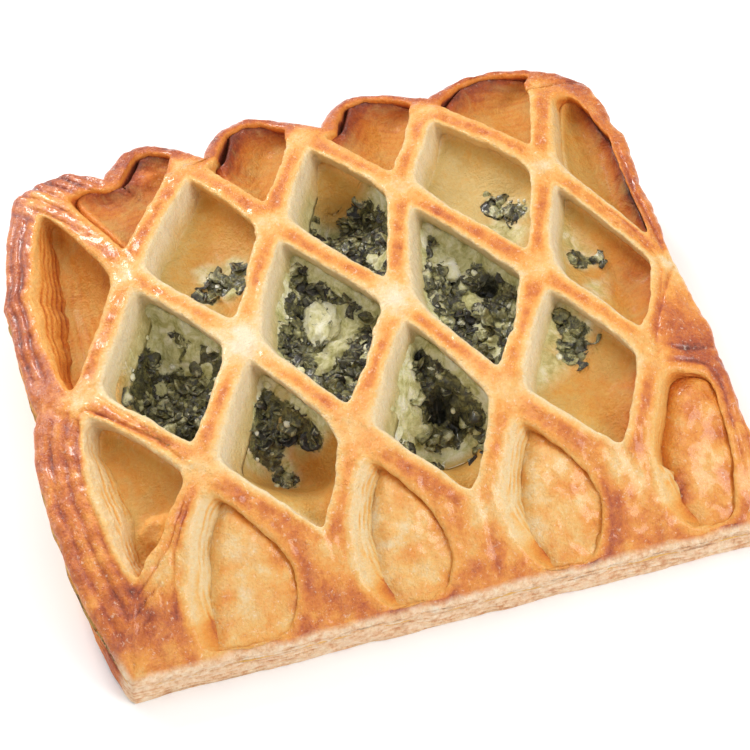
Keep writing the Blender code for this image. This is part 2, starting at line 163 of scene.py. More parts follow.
def fall(distance, shape):
    start, run, depth, power = shape
    return depth * np.clip((distance - start) / run, 0.0, 1.2) ** power


def sheetTop(x, y):
    # upper face of the lattice sheet, steep at the front and domed to the other sides
    climb = np.clip((y - form["frontY"]) / form["frontClimb"], 0.0, 1.0)
    rise = 1.0 - (1.0 - climb) ** form["frontBulge"]
    lost = np.hypot(fall(-x, form["leftFall"]) + fall(x, form["rightFall"]), fall(y, form["backFall"]))
    return form["frontTop"] + (form["peakTop"] - form["frontTop"]) * rise * (1.0 - lost)


def sheetThick(y):
    return mix(form["thickFront"], form["thick"], smooth((y - form["frontY"]) / form["thickensOver"]))


def sheetUnder(x, y):
    return sheetTop(x, y) - sheetThick(y)


def heapRadius(x, y):
    (cx, cy), (hx, hy) = form["heapCentre"], form["heapHalf"]
    return np.hypot((x - cx) / hx, (y - cy) / hy)


def sidePoint(a, b, t, swell, peak):
    dx, dy = b[0] - a[0], b[1] - a[1]
    length = math.hypot(dx, dy)
    bow = swell * math.sin(math.pi * t ** (math.log(0.5) / math.log(peak))) ** 0.8
    return (a[0] + dx * t + dy / length * bow, a[1] + dy * t - dx / length * bow)


def ragged(x, y):
    # how far the hand-cut edge stands out from its smooth line
    p = xyz([x], [y], [0.0])
    push = form["ragged"] * grains(p, form["raggedSize"], 91, 2)[0]
    return push + sum(out * bell(x, y, bx, by, form["bumpSpread"]) for bx, by, out in edgeBumps)


def place(name):
    return edgePoints[name] if isinstance(name, str) else crossing(*name)


def chainOf(start, end, step):
    # keys and plan points along one side of a cell, up to but not with its end
    side = {(a, b): (swell, peak) for a, b, swell, peak in outline}.get((start, end))
    flipped = side is None and str(start) > str(end)
    a, b = (end, start) if flipped else (start, end)
    swell, peak = side or (0.0, 0.5)
    steps = max(2, round(math.dist(place(a), place(b)) / step))
    chain = [(("anchor", start), place(start))]
    for n in range(1, steps):
        k = steps - n if flipped else n
        x, y = sidePoint(place(a), place(b), k / steps, swell, peak)
        if side:
            push = ragged(x, y) * math.sin(math.pi * k / steps)
            x, y = x + push * x / math.hypot(x, y), y + push * y / math.hypot(x, y)
        chain.append((("side", a, b, k), (x, y)))
    return chain


def outlineLoop(step):
    return [item for a, b, swell, peak in outline for item in chainOf(a, b, step)]


outlineCoarse = np.array([point for key, point in outlineLoop(2.0)])


def outlineDistance(x, y):
    # distance in to the pastry's own outline
    a, b = outlineCoarse, np.roll(outlineCoarse, -1, axis=0)
    best = np.full(len(x), 99.0)
    for (ax, ay), (dx, dy) in zip(a, b - a):
        t = np.clip(((x - ax) * dx + (y - ay) * dy) / (dx * dx + dy * dy), 0.0, 1.0)
        best = np.minimum(best, np.hypot(x - ax - t * dx, y - ay - t * dy))
    return best


def leanAt(x, y):
    # how far right the foot of a wall stands from its top, as the knife pulled the sheet
    return form["wallLean"] * smooth(outlineDistance(x, y) / form["leanFrom"])


# Each opening has its anchors counter-clockwise and, for each side, the half width of the pastry there, how
# baked and how layered its wall is, how far down the wall the bed meets it, and how baked the bed is there.
# The wall and bed values also hold painted shade: in most openings they are darker on the right-hand sides,
# where the walls shade the bed, and paler on the left-hand sides, which face the light.
# The bed's middle lies "deep" below the sheet's top, or on the filling where that is None.
# Rows of openings from front to back: E, D, C, B and A, numbered from the left.
def openingList():
    strut = 2.3
    cells = {}

    def add(name, anchors, widths, wall=0.06, layers=0.1, shelf=5.0, edge=0.3, bed=0.3, deep=None, reach=6.0,
            softness=form["cornerSoftness"], leafy=0.0, arcs=0.0):
        count = len(anchors)
        spread = lambda v: tuple(v) if isinstance(v, (tuple, list)) else (v,) * count
        cells[name] = {
            "anchors": anchors, "widths": spread(widths), "wall": spread(wall), "layers": spread(layers),
            "shelf": spread(shelf), "edge": spread(edge), "bed": bed, "deep": deep, "reach": reach,
            "softness": softness, "leafy": leafy, "pillow": float(softness < 1.0), "arcs": arcs,
        }

    diamond = lambda n, row: ((n, row), (n + 0.5, row + 1), (n, row + 2), (n - 0.5, row + 1))
    for n in range(3):
        add(f"C{n + 1}", diamond(n + 0.5, 1), strut, (0.1, 0.1, 0.04, 0.04), leafy=1.0)
    # C4: the bed darkens towards its lower right side, painted shade from the wall there
    add("C4", diamond(3.5, 1), strut, (0.2, 0.12, 0.04, 0.04), 0.1, (2.0, 3.2, 5.5, 5.0),
        (0.82, 0.34, 0.08, 0.1), 0.36, 9.0, 11.0)
    add("D2", diamond(1, 0), strut, (0.1, 0.08, 0.04, 0.04), 0.1, (3.0, 4.5, 5.5, 5.0),
        (0.5, 0.3, 0.1, 0.1), 0.36)
    add("D3", diamond(2, 0), strut, (0.1, 0.1, 0.05, 0.04), leafy=1.0)
    add("D4", diamond(3, 0), strut, (0.15, 0.10, 0.04, 0.04), 0.1, (2.0, 3.5, 5.5, 5.0),
        (0.60, 0.32, 0.1, 0.1), 0.36, 8.0, 10.0)
    add("B1", diamond(1, 2), strut, (0.15, 0.3, 0.05, 0.05), 0.1, (3.0, 2.6, 6.0, 5.0),
        (0.4, 0.46, 0.12, 0.1), 0.33, 9.0, 9.0)
    add("B2", diamond(2, 2), strut, (0.1, 0.2, 0.05, 0.05), 0.1, (4.0, 3.5, 6.0, 5.0),
        (0.3, 0.36, 0.12, 0.1), 0.30, leafy=1.0)
    add("B3", diamond(3, 2), strut, (0.1, 0.2, 0.05, 0.05), 0.1, (3.0, 2.6, 6.0, 5.0),
        (0.3, 0.34, 0.10, 0.08), 0.12, 9.0, 9.0)
    # E1 to E3: the pillows darken towards their right-hand sides, painted shadow of the walls there
    for n, outer in ((0, 17.0), (1, 10.5), (2, 10.5)):
        add(f"E{n + 1}", (f"F{n}", f"F{n + 1}", (n + 1, 0), (n + 0.5, 1), (n, 0)),
            (1.5, (8.0, 6.0), (5.0, strut), (strut, 2.8), (3.0, outer)),
            (0.46, 0.5, 0.45, 0.10, 0.12), (1.0, 0.4, 0.4, 1.0, 1.0), (0.0, 1.5, 2.4, 5.6, 5.6),
            (0.34, 0.58, 0.52, 0.14, 0.14), 0.30, 1.0, 4.5, 0.8)
    # E4: darker towards its right-hand and upper sides, painted shadow of the walls there
    add("E4", ("F3", "F4", "R1", (3.5, 1), (3, 0)), (2.0, (6.5, 3.4), 3.6, (strut, 3.0), (3.6, 10.0)),
        (0.46, 0.5, 0.5, 0.3, 0.16), (1.0, 0.6, 0.6, 0.6, 1.0), (0.2, 1.6, 2.2, 4.6, 5.2),
        (0.46, 0.66, 0.66, 0.56, 0.3), 0.40, 1.1, 4.5, 0.8)
    for n, left, right in ((1, "K1", "K2"), (2, "K2", "K3"), (3, "K3", "K4")):
        add(f"A{n}", ((n + 0.5, 3), (n + 1, 4), right, left, (n, 4)), (strut, 1.7, (2.6, 1.7), 1.3, strut),
            (0.2, 0.62, 0.84, 0.95, 0.35), 0.15, (4.5, 2.2, 0.9, 1.2, 4.5), (0.34, 0.50, 0.90, 1.02, 0.44),
            0.40, 6.5, 9.0, arcs=0.3)
    add("A0", ((0.5, 3), (1, 4), "K1", "KP", (0, 4)), (strut, 1.8, 2.6, 2.0, strut),
        (0.3, 0.7, 0.85, 0.7, 0.5), 0.3, (3.0, 2.0, 0.9, 1.0, 2.5), (0.45, 0.6, 0.95, 0.7, 0.5),
        0.52, 3.2, 5.0, arcs=0.25)
    add("B0", ((0, 2), (0.5, 3), (0, 4), "K0", "L2"), (strut, strut, 2.5, 5.6, 2.2),
        (0.3, 0.4, 0.35, 0.40, 0.5), (0.2, 0.3, 0.4, 1.0, 0.6), (4.5, 3.6, 3.6, 6.5, 3.0),
        (0.52, 0.50, 0.44, 0.36, 0.5), 0.38, 9.0, 9.0, arcs=0.4)
    add("D1", ("L2", "F0", (0, 0), (0.5, 1), (0, 2)), (9.0, (12.5, 2.2), strut, strut, 2.2),
        (0.12, 0.4, 0.4, 0.15, 0.08), (1.0, 0.6, 0.3, 0.2, 0.3), (6.0, 4.5, 3.0, 4.0, 4.5),
        (0.3, 0.56, 0.48, 0.36, 0.3), 0.36, 7.5, 7.0)
    # B4: its right-hand wall and the bed beside it are dark, painted shade
    add("B4", ((4, 2), "R2", "K4", (4, 4), (3.5, 3)), (2.0, (2.6, 5.0), 4.2, strut, strut),
        (0.3, 0.85, 0.6, 0.2, 0.08), 0.2, (3.0, 2.4, 1.6, 3.5, 5.0), (0.7, 0.95, 0.46, 0.28, 0.12),
        0.33, 8.0, 8.0, arcs=0.25)
    return cells


openings = openingList()
closedCells = (("KP", "K0", (0, 4)), ((3.5, 1), "R1", "R2", (4, 2)))


def cellSides(cell, step=5.2):
    sides = []
    anchors = cell["anchors"]
    for n, start in enumerate(anchors):
        end = anchors[(n + 1) % len(anchors)]
        points = [point for key, point in chainOf(start, end, step)] + [place(end)]
        width = cell["widths"][n]
        sides.append((np.array(points), width if isinstance(width, tuple) else (width, width)))
    return sides


def sideGaps(points, sides):
    # distance from each side's own cut edge, positive towards the opening
    gaps = []
    for chain, (first, last) in sides:
        a, b = chain[:-1], chain[1:]
        d = b - a
        rel = points[:, None, :] - a[None]
        t = np.clip((rel * d).sum(2) / (d * d).sum(1), 0.0, 1.0)
        distance = np.linalg.norm(rel - d * t[..., None], axis=2)
        nearest = distance.argmin(1)
        pick = np.arange(len(points))
        along = (nearest + t[pick, nearest]) / len(a)
        flare = form["crossingFlare"] * np.abs(2 * along - 1) ** 3
        gaps.append(distance[pick, nearest] - first - (last - first) * along - flare)
    return np.array(gaps)


def nearestSide(gaps, cell):
    # the smallest of the distances to the sides, blended in the corners
    return -np.log(np.exp(-cell["softness"] * gaps).sum(0)) / cell["softness"]


def openingDepth(points, cell):
    # positive inside the opening, negative in the pastry around it
    return nearestSide(sideGaps(points, cell["sides"]), cell)


def insideOf(points, loop):
    # which points lie inside a closed loop
    inside = np.zeros(len(points), bool)
    x, y = points.T
    for (ax, ay), (bx, by) in zip(loop, np.roll(loop, -1, axis=0)):
        crosses = (ay > y) != (by > y)
        inside ^= crosses & (x < ax + (bx - ax) * (y - ay) / np.where(crosses, by - ay, 1.0))
    return inside


def openingCentre(cell):
    # the place deepest inside an opening, found in ever smaller steps
    corners = np.array([chain[0] for chain, width in cell["sides"]])
    best = corners.mean(0)
    step = 4.0
    while step > 0.1:
        around = np.array([best + step * np.array((dx, dy)) for dx in (-1, 0, 1) for dy in (-1, 0, 1)])
        choice = around[openingDepth(around, cell).argmax()]
        if np.allclose(choice, best):
            step *= 0.5
        best = choice
    return best


for cell in openings.values():
    cell["sides"] = cellSides(cell)
    cell["centre"] = openingCentre(cell)


def openingAt(x, y):
    # how deep inside its nearest opening each point lies, with that opening's own values there
    points = np.stack([x, y], axis=1)
    top = sheetTop(x, y)
    outside = {"deep": -9.0, "shelf": 5.0, "edge": 0.3, "bed": 0.3, "reach": 6.0, "own": np.nan,
               "leafy": 0.0, "pillow": 0.0, "arcs": 0.0}
    found = {key: np.full(len(x), value) for key, value in outside.items()}
    for cell in openings.values():
        loop = np.concatenate([chain[:-1] for chain, width in cell["sides"]])
        spots = np.flatnonzero(np.all((points > loop.min(0)) & (points < loop.max(0)), axis=1))
        spots = spots[insideOf(points[spots], loop)]
        if not len(spots):
            continue
        gaps = sideGaps(points[spots], cell["sides"])
        found["deep"][spots] = nearestSide(gaps, cell)
        nearness = np.exp(-0.6 * (gaps - gaps.min(0)))
        nearness /= nearness.sum(0)
        for key in ("shelf", "edge"):
            found[key][spots] = (np.array(cell[key])[:, None] * nearness).sum(0)
        for key in ("bed", "reach", "leafy", "pillow", "arcs"):
            found[key][spots] = cell[key]
        found["own"][spots] = np.nan if cell["deep"] is None else top[spots] - cell["deep"]
    return found


def interior(x, y, floor):
    # The bed in an opening sweeps up to the walls as a bowl, or down to them from a pillow.
    # Under the strips it lies against the sheet.
    at = openingAt(x - form["bedLean"] * leanAt(x, y), y)
    own = np.where(np.isnan(at["own"]), floor, at["own"])
    start = sheetTop(x, y) - np.minimum(at["shelf"], sheetThick(y) + 0.6)
    level = own + (start - own) * np.clip(1.0 - at["deep"] / at["reach"], 0.0, 1.0) ** 2
    at["level"] = mix(level, sheetUnder(x, y) + 0.2, smooth(-at["deep"] / 1.5))
    return at


def addPiece(name, node, slot, material, points, faces, attributes=None):
    # one mesh that stands for a solid
    mesh = bpy.data.meshes.new(name)
    placed = (np.asarray(points, float) + np.array((*frameShift, 0.0))) * mm
    placed = np.clip(placed, np.array(cadBox[0]), np.array(cadBox[1]))  # the relief stays in the solids' box
    mesh.from_pydata(placed.tolist(), [], [list(face) for face in faces])
    mesh.validate()
    mesh.update()
    for key, values in (attributes or {}).items():
        layer = mesh.attributes.new(key, "FLOAT", "POINT")
        layer.data.foreach_set("value", np.asarray(values, np.float32))
    mesh.shade_smooth()
    mesh.materials.append(material)
    piece = bpy.data.objects.new(name, mesh)
    bpy.context.scene.collection.objects.link(piece)
    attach(piece, "root")
    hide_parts(node)


def meshNormals(points, faces):
    # normals of the points of a quad and triangle mesh, weighted by area
    normals = np.zeros_like(points)
    for corners in (3, 4):
        chosen = np.array([face for face in faces if len(face) == corners])
        if len(chosen):
            a, b, c, d = (points[chosen[:, k]] for k in (0, 1, 2, corners - 1))
            n = np.cross(c - a, d - b) if corners == 4 else np.cross(b - a, c - a)
            for k in range(corners):
                np.add.at(normals, chosen[:, k], n)
    return normals / np.maximum(np.linalg.norm(normals, axis=1, keepdims=True), 1e-9)


def linear(code):
    # a hex colour as it looks on screen, as the linear colour a shader takes
    parts = [int(code[n:n + 2], 16) / 255 for n in (0, 2, 4)]
    return tuple(c / 12.92 if c <= 0.04045 else ((c + 0.055) / 1.055) ** 2.4 for c in parts) + (1.0,)


class Shading:
    # short way to lay out a material's nodes

    def __init__(self, name, **surface):
        self.material = bpy.data.materials.new(name)
        self.material.use_nodes = True
        self.tree = self.material.node_tree
        self.surface = self.tree.nodes["Principled BSDF"]
        for key, value in surface.items():
            self.surface.inputs[key.replace("_", " ")].default_value = value

    def node(self, kind, inputs=None, **settings):
        made = self.tree.nodes.new("ShaderNode" + kind)
        for key, value in settings.items():
            setattr(made, key, value)
        for key, value in (inputs or {}).items():
            if isinstance(value, bpy.types.NodeSocket):
                self.tree.links.new(value, made.inputs[key])
            else:
                made.inputs[key].default_value = value
        return made

    def link(self, socket, target):
        self.tree.links.new(socket, self.surface.inputs[target])

    def attribute(self, name):
        return self.node("Attribute", attribute_name=name).outputs["Fac"]

    def place(self):
        return self.node("TexCoord").outputs["Object"]

    def maths(self, operation, a, b):
        return self.node("Math", {0: a, 1: b}, operation=operation).outputs[0]

    def add(self, a, b):
        return self.maths("ADD", a, b)

    def times(self, a, b):
        return self.maths("MULTIPLY", a, b)

    def most(self, a, b):
        return self.maths("MAXIMUM", a, b)

    def noise(self, scale, detail=3.0, roughness=0.55, distortion=0.0):
        values = {"Vector": self.place(), "Scale": scale, "Detail": detail, "Roughness": roughness,
                  "Distortion": distortion}
        return self.node("TexNoise", values).outputs["Fac"]

    def span(self, value, low, high, toLow=0.0, toHigh=1.0):
        values = {"Value": value, "From Min": low, "From Max": high, "To Min": toLow, "To Max": toHigh}
        return self.node("MapRange", values, interpolation_type="SMOOTHSTEP").outputs[0]

    def ramp(self, value, stops):
        made = self.node("ValToRGB", {"Fac": value})
        bar = made.color_ramp
        while len(bar.elements) < len(stops):
            bar.elements.new(0.5)
        for element, (at, colour) in zip(bar.elements, stops):
            element.position = at
            element.color = linear(colour)
        return made.outputs[0]

    def blend(self, amount, a, b, way="MIX"):
        made = self.node("Mix", {"Factor": amount}, data_type="RGBA", clamp_result=True, blend_type=way)
        for socket, value in ((made.inputs[6], a), (made.inputs[7], b)):
            if isinstance(value, str):
                socket.default_value = linear(value)
            else:
                self.tree.links.new(value, socket)
        return made.outputs[2]

    def bump(self, height, distance, strength=1.0, normal=None):
        values = {"Height": height, "Distance": distance, "Strength": strength}
        if normal:
            values["Normal"] = normal
        return self.node("Bump", values).outputs[0]


# Browned puff pastry. bake: 0 raw cream to 1 dark brown; side: 0 on the glazed top to 1 on a cut wall;
# line: the dark between two layers; green: the filling's juice soaked in; the moist share: baked in the
# steam, duller, and darker as painted shade deep in the openings and low on their walls;
# peel: the pale layered cut along the front.
crust = {
    "stops": ((0.0, "ead9b6"), (0.13, "e8cb98"), (0.28, "e9b466"), (0.44, "e6983f"), (0.60, "d17529"),
              (0.75, "ad5024"), (0.88, "7c351c"), (1.0, "461c11")),
    # white specks: painted glints on the glaze, partly pale flakes
    "mottle": 0.20, "speckle": 0.24, "layerLines": 0.30, "juice": ((0.3, "aca262"), (0.7, "d6cc96")),
    "flakeGlints": ("ffeed6", 0.42), "soaked": "c2a460",
    "peelStops": ((0.30, "cf9468"), (0.45, "e6bd94"), (0.62, "f0d3b2"), (0.80, "f4e3cc")),
    "moistTint": "dcd3a2", "flush": ((0.0, "ffffff"), (1.0, "f0d0c0")),
}


def crustTone(s, side, line):
    # the browning with its mottling, its specks and the lines between layers
    mottle = s.maths("SUBTRACT", s.noise(520.0, 4.0, 0.66, 0.5), 0.5)
    speckle = s.maths("SUBTRACT", s.noise(1700.0, 3.0, 0.65), 0.5)
    amount = s.span(side, 0.0, 1.0, crust["mottle"] * 2.0, crust["mottle"] * 0.5)
    tone = s.add(s.attribute("bake"), s.times(mottle, amount))
    tone = s.add(tone, s.times(speckle, crust["speckle"]))
    return s.add(tone, s.times(line, crust["layerLines"]))


def crustFinish(s):
    # colour, roughness and fine relief of pastry, for a piece with all of its attributes
    side, line, green, moist, peel = (s.attribute(key) for key in ("side", "line", "green", "moist", "peel"))
    colour = s.ramp(crustTone(s, side, line), crust["stops"])
    # painted shade: the moist share multiplies the colour darker, deeper inside the openings
    colour = s.blend(moist, colour, crust["moistTint"], "MULTIPLY")
    soaked = s.times(s.span(s.noise(170.0, 4.0, 0.6, 0.8), 0.42, 0.68, 0.0, 0.5), moist)
    colour = s.blend(soaked, colour, crust["soaked"])
    flush = s.ramp(s.span(s.noise(240.0, 3.0), 0.5, 0.75), crust["flush"])
    colour = s.blend(s.span(side, 0.0, 0.6, 0.3, 0.0), colour, flush, "MULTIPLY")
    # white specks, mostly on the bare glazed faces: painted glints on the glaze, partly pale flakes
    flakeGlintColour, most = crust["flakeGlints"]
    bare = s.span(s.most(side, moist), 0.2, 0.7, 1.0, 0.15)
    flakeGlintSpecks = s.times(s.span(s.noise(1150.0, 5.0, 0.72, 0.4), 0.58, 0.68, 0.0, most), bare)
    colour = s.blend(flakeGlintSpecks, colour, flakeGlintColour)
    layers = s.maths("SUBTRACT", s.noise(760.0, 4.0, 0.6, 0.3), s.times(line, 0.18))
    colour = s.blend(peel, colour, s.ramp(layers, crust["peelStops"]))
    colour = s.blend(green, colour, s.ramp(s.noise(420.0, 3.0), crust["juice"]))
    cut = s.most(side, peel)
    dull = s.add(s.add(s.noise(800.0, 3.0), s.times(cut, 0.28)), s.times(moist, 0.2))
    height = s.add(s.noise(620.0, 4.0, 0.65), s.times(s.noise(2200.0, 3.0), 0.45))
    glaze = s.span(s.most(cut, moist), 0.1, 0.6, 0.5, 0.04)
    return colour, s.span(dull, 0.32, 0.82, 0.24, 0.66), s.bump(height, 0.0008, 0.8), glaze


def crustMaterial(name):
    s = Shading(name, Coat_Roughness=0.14, Specular_IOR_Level=0.4, Subsurface_Weight=0.12,
                Subsurface_Scale=0.003, Subsurface_Radius=(1.0, 0.55, 0.25))
    for socket, target in zip(crustFinish(s), ("Base Color", "Roughness", "Normal", "Coat Weight")):
        s.link(socket, target)
    return s.material


def layerLines(layer, points, seed, pitch):
    # 1 in the dark line between two layers of a cut, 0 on the layers, with layers torn here and there
    phase = layer + 0.45 * grain(points, (12.0, 12.0, 9.0), seed) + 0.10 * grain(points, 3.0, seed + 1)
    ridges = np.abs((phase / pitch) % 1.0 - 0.5) * 2.0
    torn = np.clip(0.55 + 0.75 * grain(points, (5.0, 5.0, 1.1), seed + 2), 0.0, 1.0)
    return (1.0 - smooth(ridges / 0.75)) * torn


def puffed(depth, points, seed):
    # depth in an outer wall, bent as the layers puffed up unevenly
    wide, fine = grain(points, (13.0, 13.0, 5.0), seed), grain(points, (4.0, 4.0, 2.0), seed + 1)
    return depth + 0.8 * wide + 0.35 * fine


lattice = {
    "step": 0.68, "topStep": 0.85, "plainRings": 8, "layeredRings": 22, "roundRings": 4, "middleRings": 16,
    "skirt": 1.8, "inset": 6.0, "roundDrop": 0.8, "lipWidth": 0.7,
    "puff": 0.36, "blister": 0.46, "flake": 0.20, "layerDepth": 0.25, "layerPitch": 1.05,
    "strutBake": 0.55, "crossingBake": 0.24, "crossingSpread": 14.0, "blotches": 0.18, "lipBake": 0.12,
    "edgeBake": 0.08, "edgeWidth": 14.0, "backBake": 0.26, "toast": 0.6, "softLimit": 0.66, "underBake": 0.3,
    "layerSlope": 2.4, "frontSlope": 2.8, "frontBake": 0.14, "streaks": 0.40, "streakSize": (1.9, 11.0, 1.0),
    "streakBake": 0.10, "grooveDepth": 0.5, "grooveWidth": 0.45, "grooveBake": 0.14,
    "outerBake": 0.46, "outerBlotches": 0.14, "outerTuck": 0.35,
}
# Pale crossings in the middle, and scorched spots, as (x, y, radius, strength)
paleSpots = (
    (4.6, -3, 7.5, 0.30), (-23, -3, 7.5, 0.32), (31.5, -2.6, 5.5, 0.10), (-10.5, -27, 5, 0.08),
    (-12, 22.5, 5, 0.06), (45, 20, 5, 0.08), (-52, -5, 4, 0.08), (60.5, -8, 8, 0.24),
)
toastSpots = (
    (57.4, -24, 4, 0.16), (-50.2, -43.2, 3.5, 0.10), (-54.7, -43, 3, 0.12), (-54.5, -50.3, 4, 0.12),
    (-24.9, -51.9, 3, 0.26), (-24.9, -48.4, 3, 0.16), (-22.9, -45.2, 3, 0.12), (1.8, -54.7, 3, 0.28),
    (-1.4, -51, 2.5, 0.14), (30, -55, 3, 0.26), (32.6, -51.7, 3, 0.14), (47.1, -54, 3.5, 0.22),
    (59, -40.6, 3.5, 0.24), (58.6, -22, 4, 0.18), (-57.1, 41.6, 4, 0.20), (-58.7, 15, 4, 0.26),
    (-59.2, 24, 4, 0.24), (-58, 5, 4, 0.12), (-40, 47, 5, 0.16), (61, 46, 4, 0.30), (62, 34, 4, 0.14),
    (60, 5.5, 4, 0.10), (13, 20.5, 3, 0.16), (20, 30, 3, 0.10), (-28, -14, 3, 0.10),
)
# Strands of pastry drawn out round an opening's outer edge: x from, x to, y from, y to, and how far
# from the opening the grooves between them run
strands = {
    "D1": (-70.0, -38.0, -52.0, -4.0, (1.6, 4.0, 6.6)), "B0": (-70.0, -50.0, 0.0, 44.0, (2.4, 4.4)),
    "B4": (50.0, 70.0, -8.0, 30.0, (1.5,)), "C4": (46.0, 70.0, -30.0, 6.0, (2.2, 4.6)),
    "E4": (50.0, 70.0, -50.0, -14.0, (2.0, 4.6)),
}
cornerFlap = {"place": (-50.0, 43.5), "radius": 9.0, "angle": -52.0, "pitch": 2.3}


def inFront(y, line, over):
    # 0 behind a line across the pastry, rising to 1 in front of it
    return smooth((line - y) / over)


def spotSum(x, y, spots):
    return sum(strength * bell(x, y, sx, sy, radius ** 2) for sx, sy, radius, strength in spots)


def crossingNearness(x, y):
    # 1 on a crossing, falling to 0 about a strip's width away
    near = np.zeros(len(x))
    for row in range(5):
        for column in (np.arange(5) if row % 2 == 0 else np.arange(4) + 0.5):
            near = np.maximum(near, bell(x, y, *crossing(column, row), lattice["crossingSpread"]))
    return near


def strandGroove(x, y):
    # 1 in the grooves between drawn-out strands of pastry
    total = np.zeros(len(x))
    points = np.stack([x, y], axis=1)
    waver = 0.5 * grain(xyz(x, y, 0.0), 8.0, 41)
    for name, (left, right, front, back, places) in strands.items():
        near = np.flatnonzero((x > left) & (x < right) & (y > front) & (y < back))
        px, py = points[near].T
        away = waver[near] - openingDepth(points[near], openings[name])
        inBand = smooth((px - left) / 4.0) * smooth((right - px) / 4.0)
        inBand = inBand * smooth((py - front) / 6.0) * smooth((back - py) / 6.0)
        lines = sum(np.exp(-((away - line) / lattice["grooveWidth"]) ** 2) for line in places)
        total[near] = np.maximum(total[near], inBand * lines)
    angle, (fx, fy) = math.radians(cornerFlap["angle"]), cornerFlap["place"]
    across = (x - fx) * math.sin(angle) - (y - fy) * math.cos(angle)
    near = smooth(1.6 - np.hypot(x - fx, y - fy) / cornerFlap["radius"])
    ridges = np.abs(((across + waver) / cornerFlap["pitch"]) % 1.0 - 0.5) * 2.0
    return np.minimum(np.maximum(total, near * (1.0 - smooth(ridges / 0.55))), 1.0)


def topBake(x, y):
    # how brown the glazed faces are, before the shader's own mottling
    bake = mix(lattice["strutBake"], lattice["crossingBake"], crossingNearness(x, y))
    edge = np.clip(1.0 - outlineDistance(x, y) / lattice["edgeWidth"], 0.0, 1.0)
    bake = bake + lattice["edgeBake"] * edge * smooth((y + 40.0) / 10.0)
    bake = bake + lattice["backBake"] * smooth((y - 44.0) / 6.0)
    bake = bake - spotSum(x, y, paleSpots) + lattice["toast"] * spotSum(x, y, toastSpots)
    p = xyz(x, y, 0.0)
    patchy = lattice["blotches"] * (1.0 + 0.5 * inFront(y, -36.0, 10.0))
    bake = bake + patchy * (0.7 * grains(p, 7.0, 5, 2) + 0.6 * grains(p, 2.4, 7, 2))
    return bake - 0.5 * np.maximum(bake - lattice["softLimit"], 0.0)


def topFace(x, y):
    # height and browning of the glazed faces, grooved between strands and streaky down to the front edge
    groove = strandGroove(x, y)
    across = x + 1.5 * grain(xyz(x, y, 0.0), 12.0, 43)
    streak = grains(xyz(across, y, 0.0), lattice["streakSize"], 45, 2) * inFront(y, -36.0, 10.0)
    height = sheetTop(x, y) - lattice["grooveDepth"] * groove + lattice["streaks"] * streak
    return height, topBake(x, y) + lattice["grooveBake"] * groove - lattice["streakBake"] * streak


def loopBlend(values, counts, blur):
    # one value for each side, spread over that side's points and softened round the loop
    spread = np.repeat(values, counts).astype(float)
    kernel = np.exp(-np.linspace(-2, 2, 2 * blur + 1) ** 2)
    kernel /= kernel.sum()
    padded = np.concatenate([spread[-blur:], spread, spread[:blur]])
    return np.convolve(padded, kernel, "valid")


def outwardNormals(points, spread=5):
    d = np.roll(points, -spread, axis=0) - np.roll(points, spread, axis=0)
    d /= np.linalg.norm(d, axis=1, keepdims=True)
    return np.stack([d[:, 1], -d[:, 0]], axis=1)


class Skin:
    # gathers rings of points, their attributes and the faces between them

    def __init__(self, keys):
        self.points, self.faces, self.count = [], [], 0
        self.values = {key: [] for key in keys}

    def ring(self, points, **values):
        self.points.append(points)
        for key in self.values:
            self.values[key].append(np.broadcast_to(np.asarray(values.get(key, 0.0), float), (len(points),)))
        self.count += len(points)
        return np.arange(self.count - len(points), self.count)

    def join(self, rings):
        # faces between each ring and the next
        for lower, upper in zip(rings, rings[1:]):
            self.faces.extend(zip(lower, np.roll(lower, -1), np.roll(upper, -1), upper))

    def cap(self, rings):
        # closes both ends of a stack of rings
        self.faces.append(tuple(rings[0][::-1]))
        self.faces.append(tuple(rings[-1]))

    def at(self, index):
        return np.concatenate(self.points)[index]

    def done(self):
        return np.concatenate(self.points), {key: np.concatenate(v) for key, v in self.values.items()}


def cellRim(anchors, step):
    rim, counts = [], []
    for n, start in enumerate(anchors):
        chain = chainOf(start, anchors[(n + 1) % len(anchors)], step)
        rim.extend(chain)
        counts.append(len(chain))
    return [key for key, point in rim], np.array([point for key, point in rim]), counts


def openingEdge(cell, rim):
    # where the rays from an opening's centre to its rim leave the opening, with a hand-cut waver
    centre = cell["centre"]
    low, high = np.zeros(len(rim)), np.ones(len(rim))
    for _ in range(26):
        t = 0.5 * (low + high)
        inside = openingDepth(centre + (rim - centre) * t[:, None], cell) > 0
        low, high = np.where(inside, t, low), np.where(inside, high, t)
    edge = centre + (rim - centre) * low[:, None]
    out = (edge - centre) / np.linalg.norm(edge - centre, axis=1, keepdims=True)
    wide, fine = form["edgeWaver"]
    p = xyz(edge[:, 0], edge[:, 1], 0.0)
    return edge + out * (wide * grain(p, 7.0, 13) + fine * grain(p, 2.4, 17))[:, None]


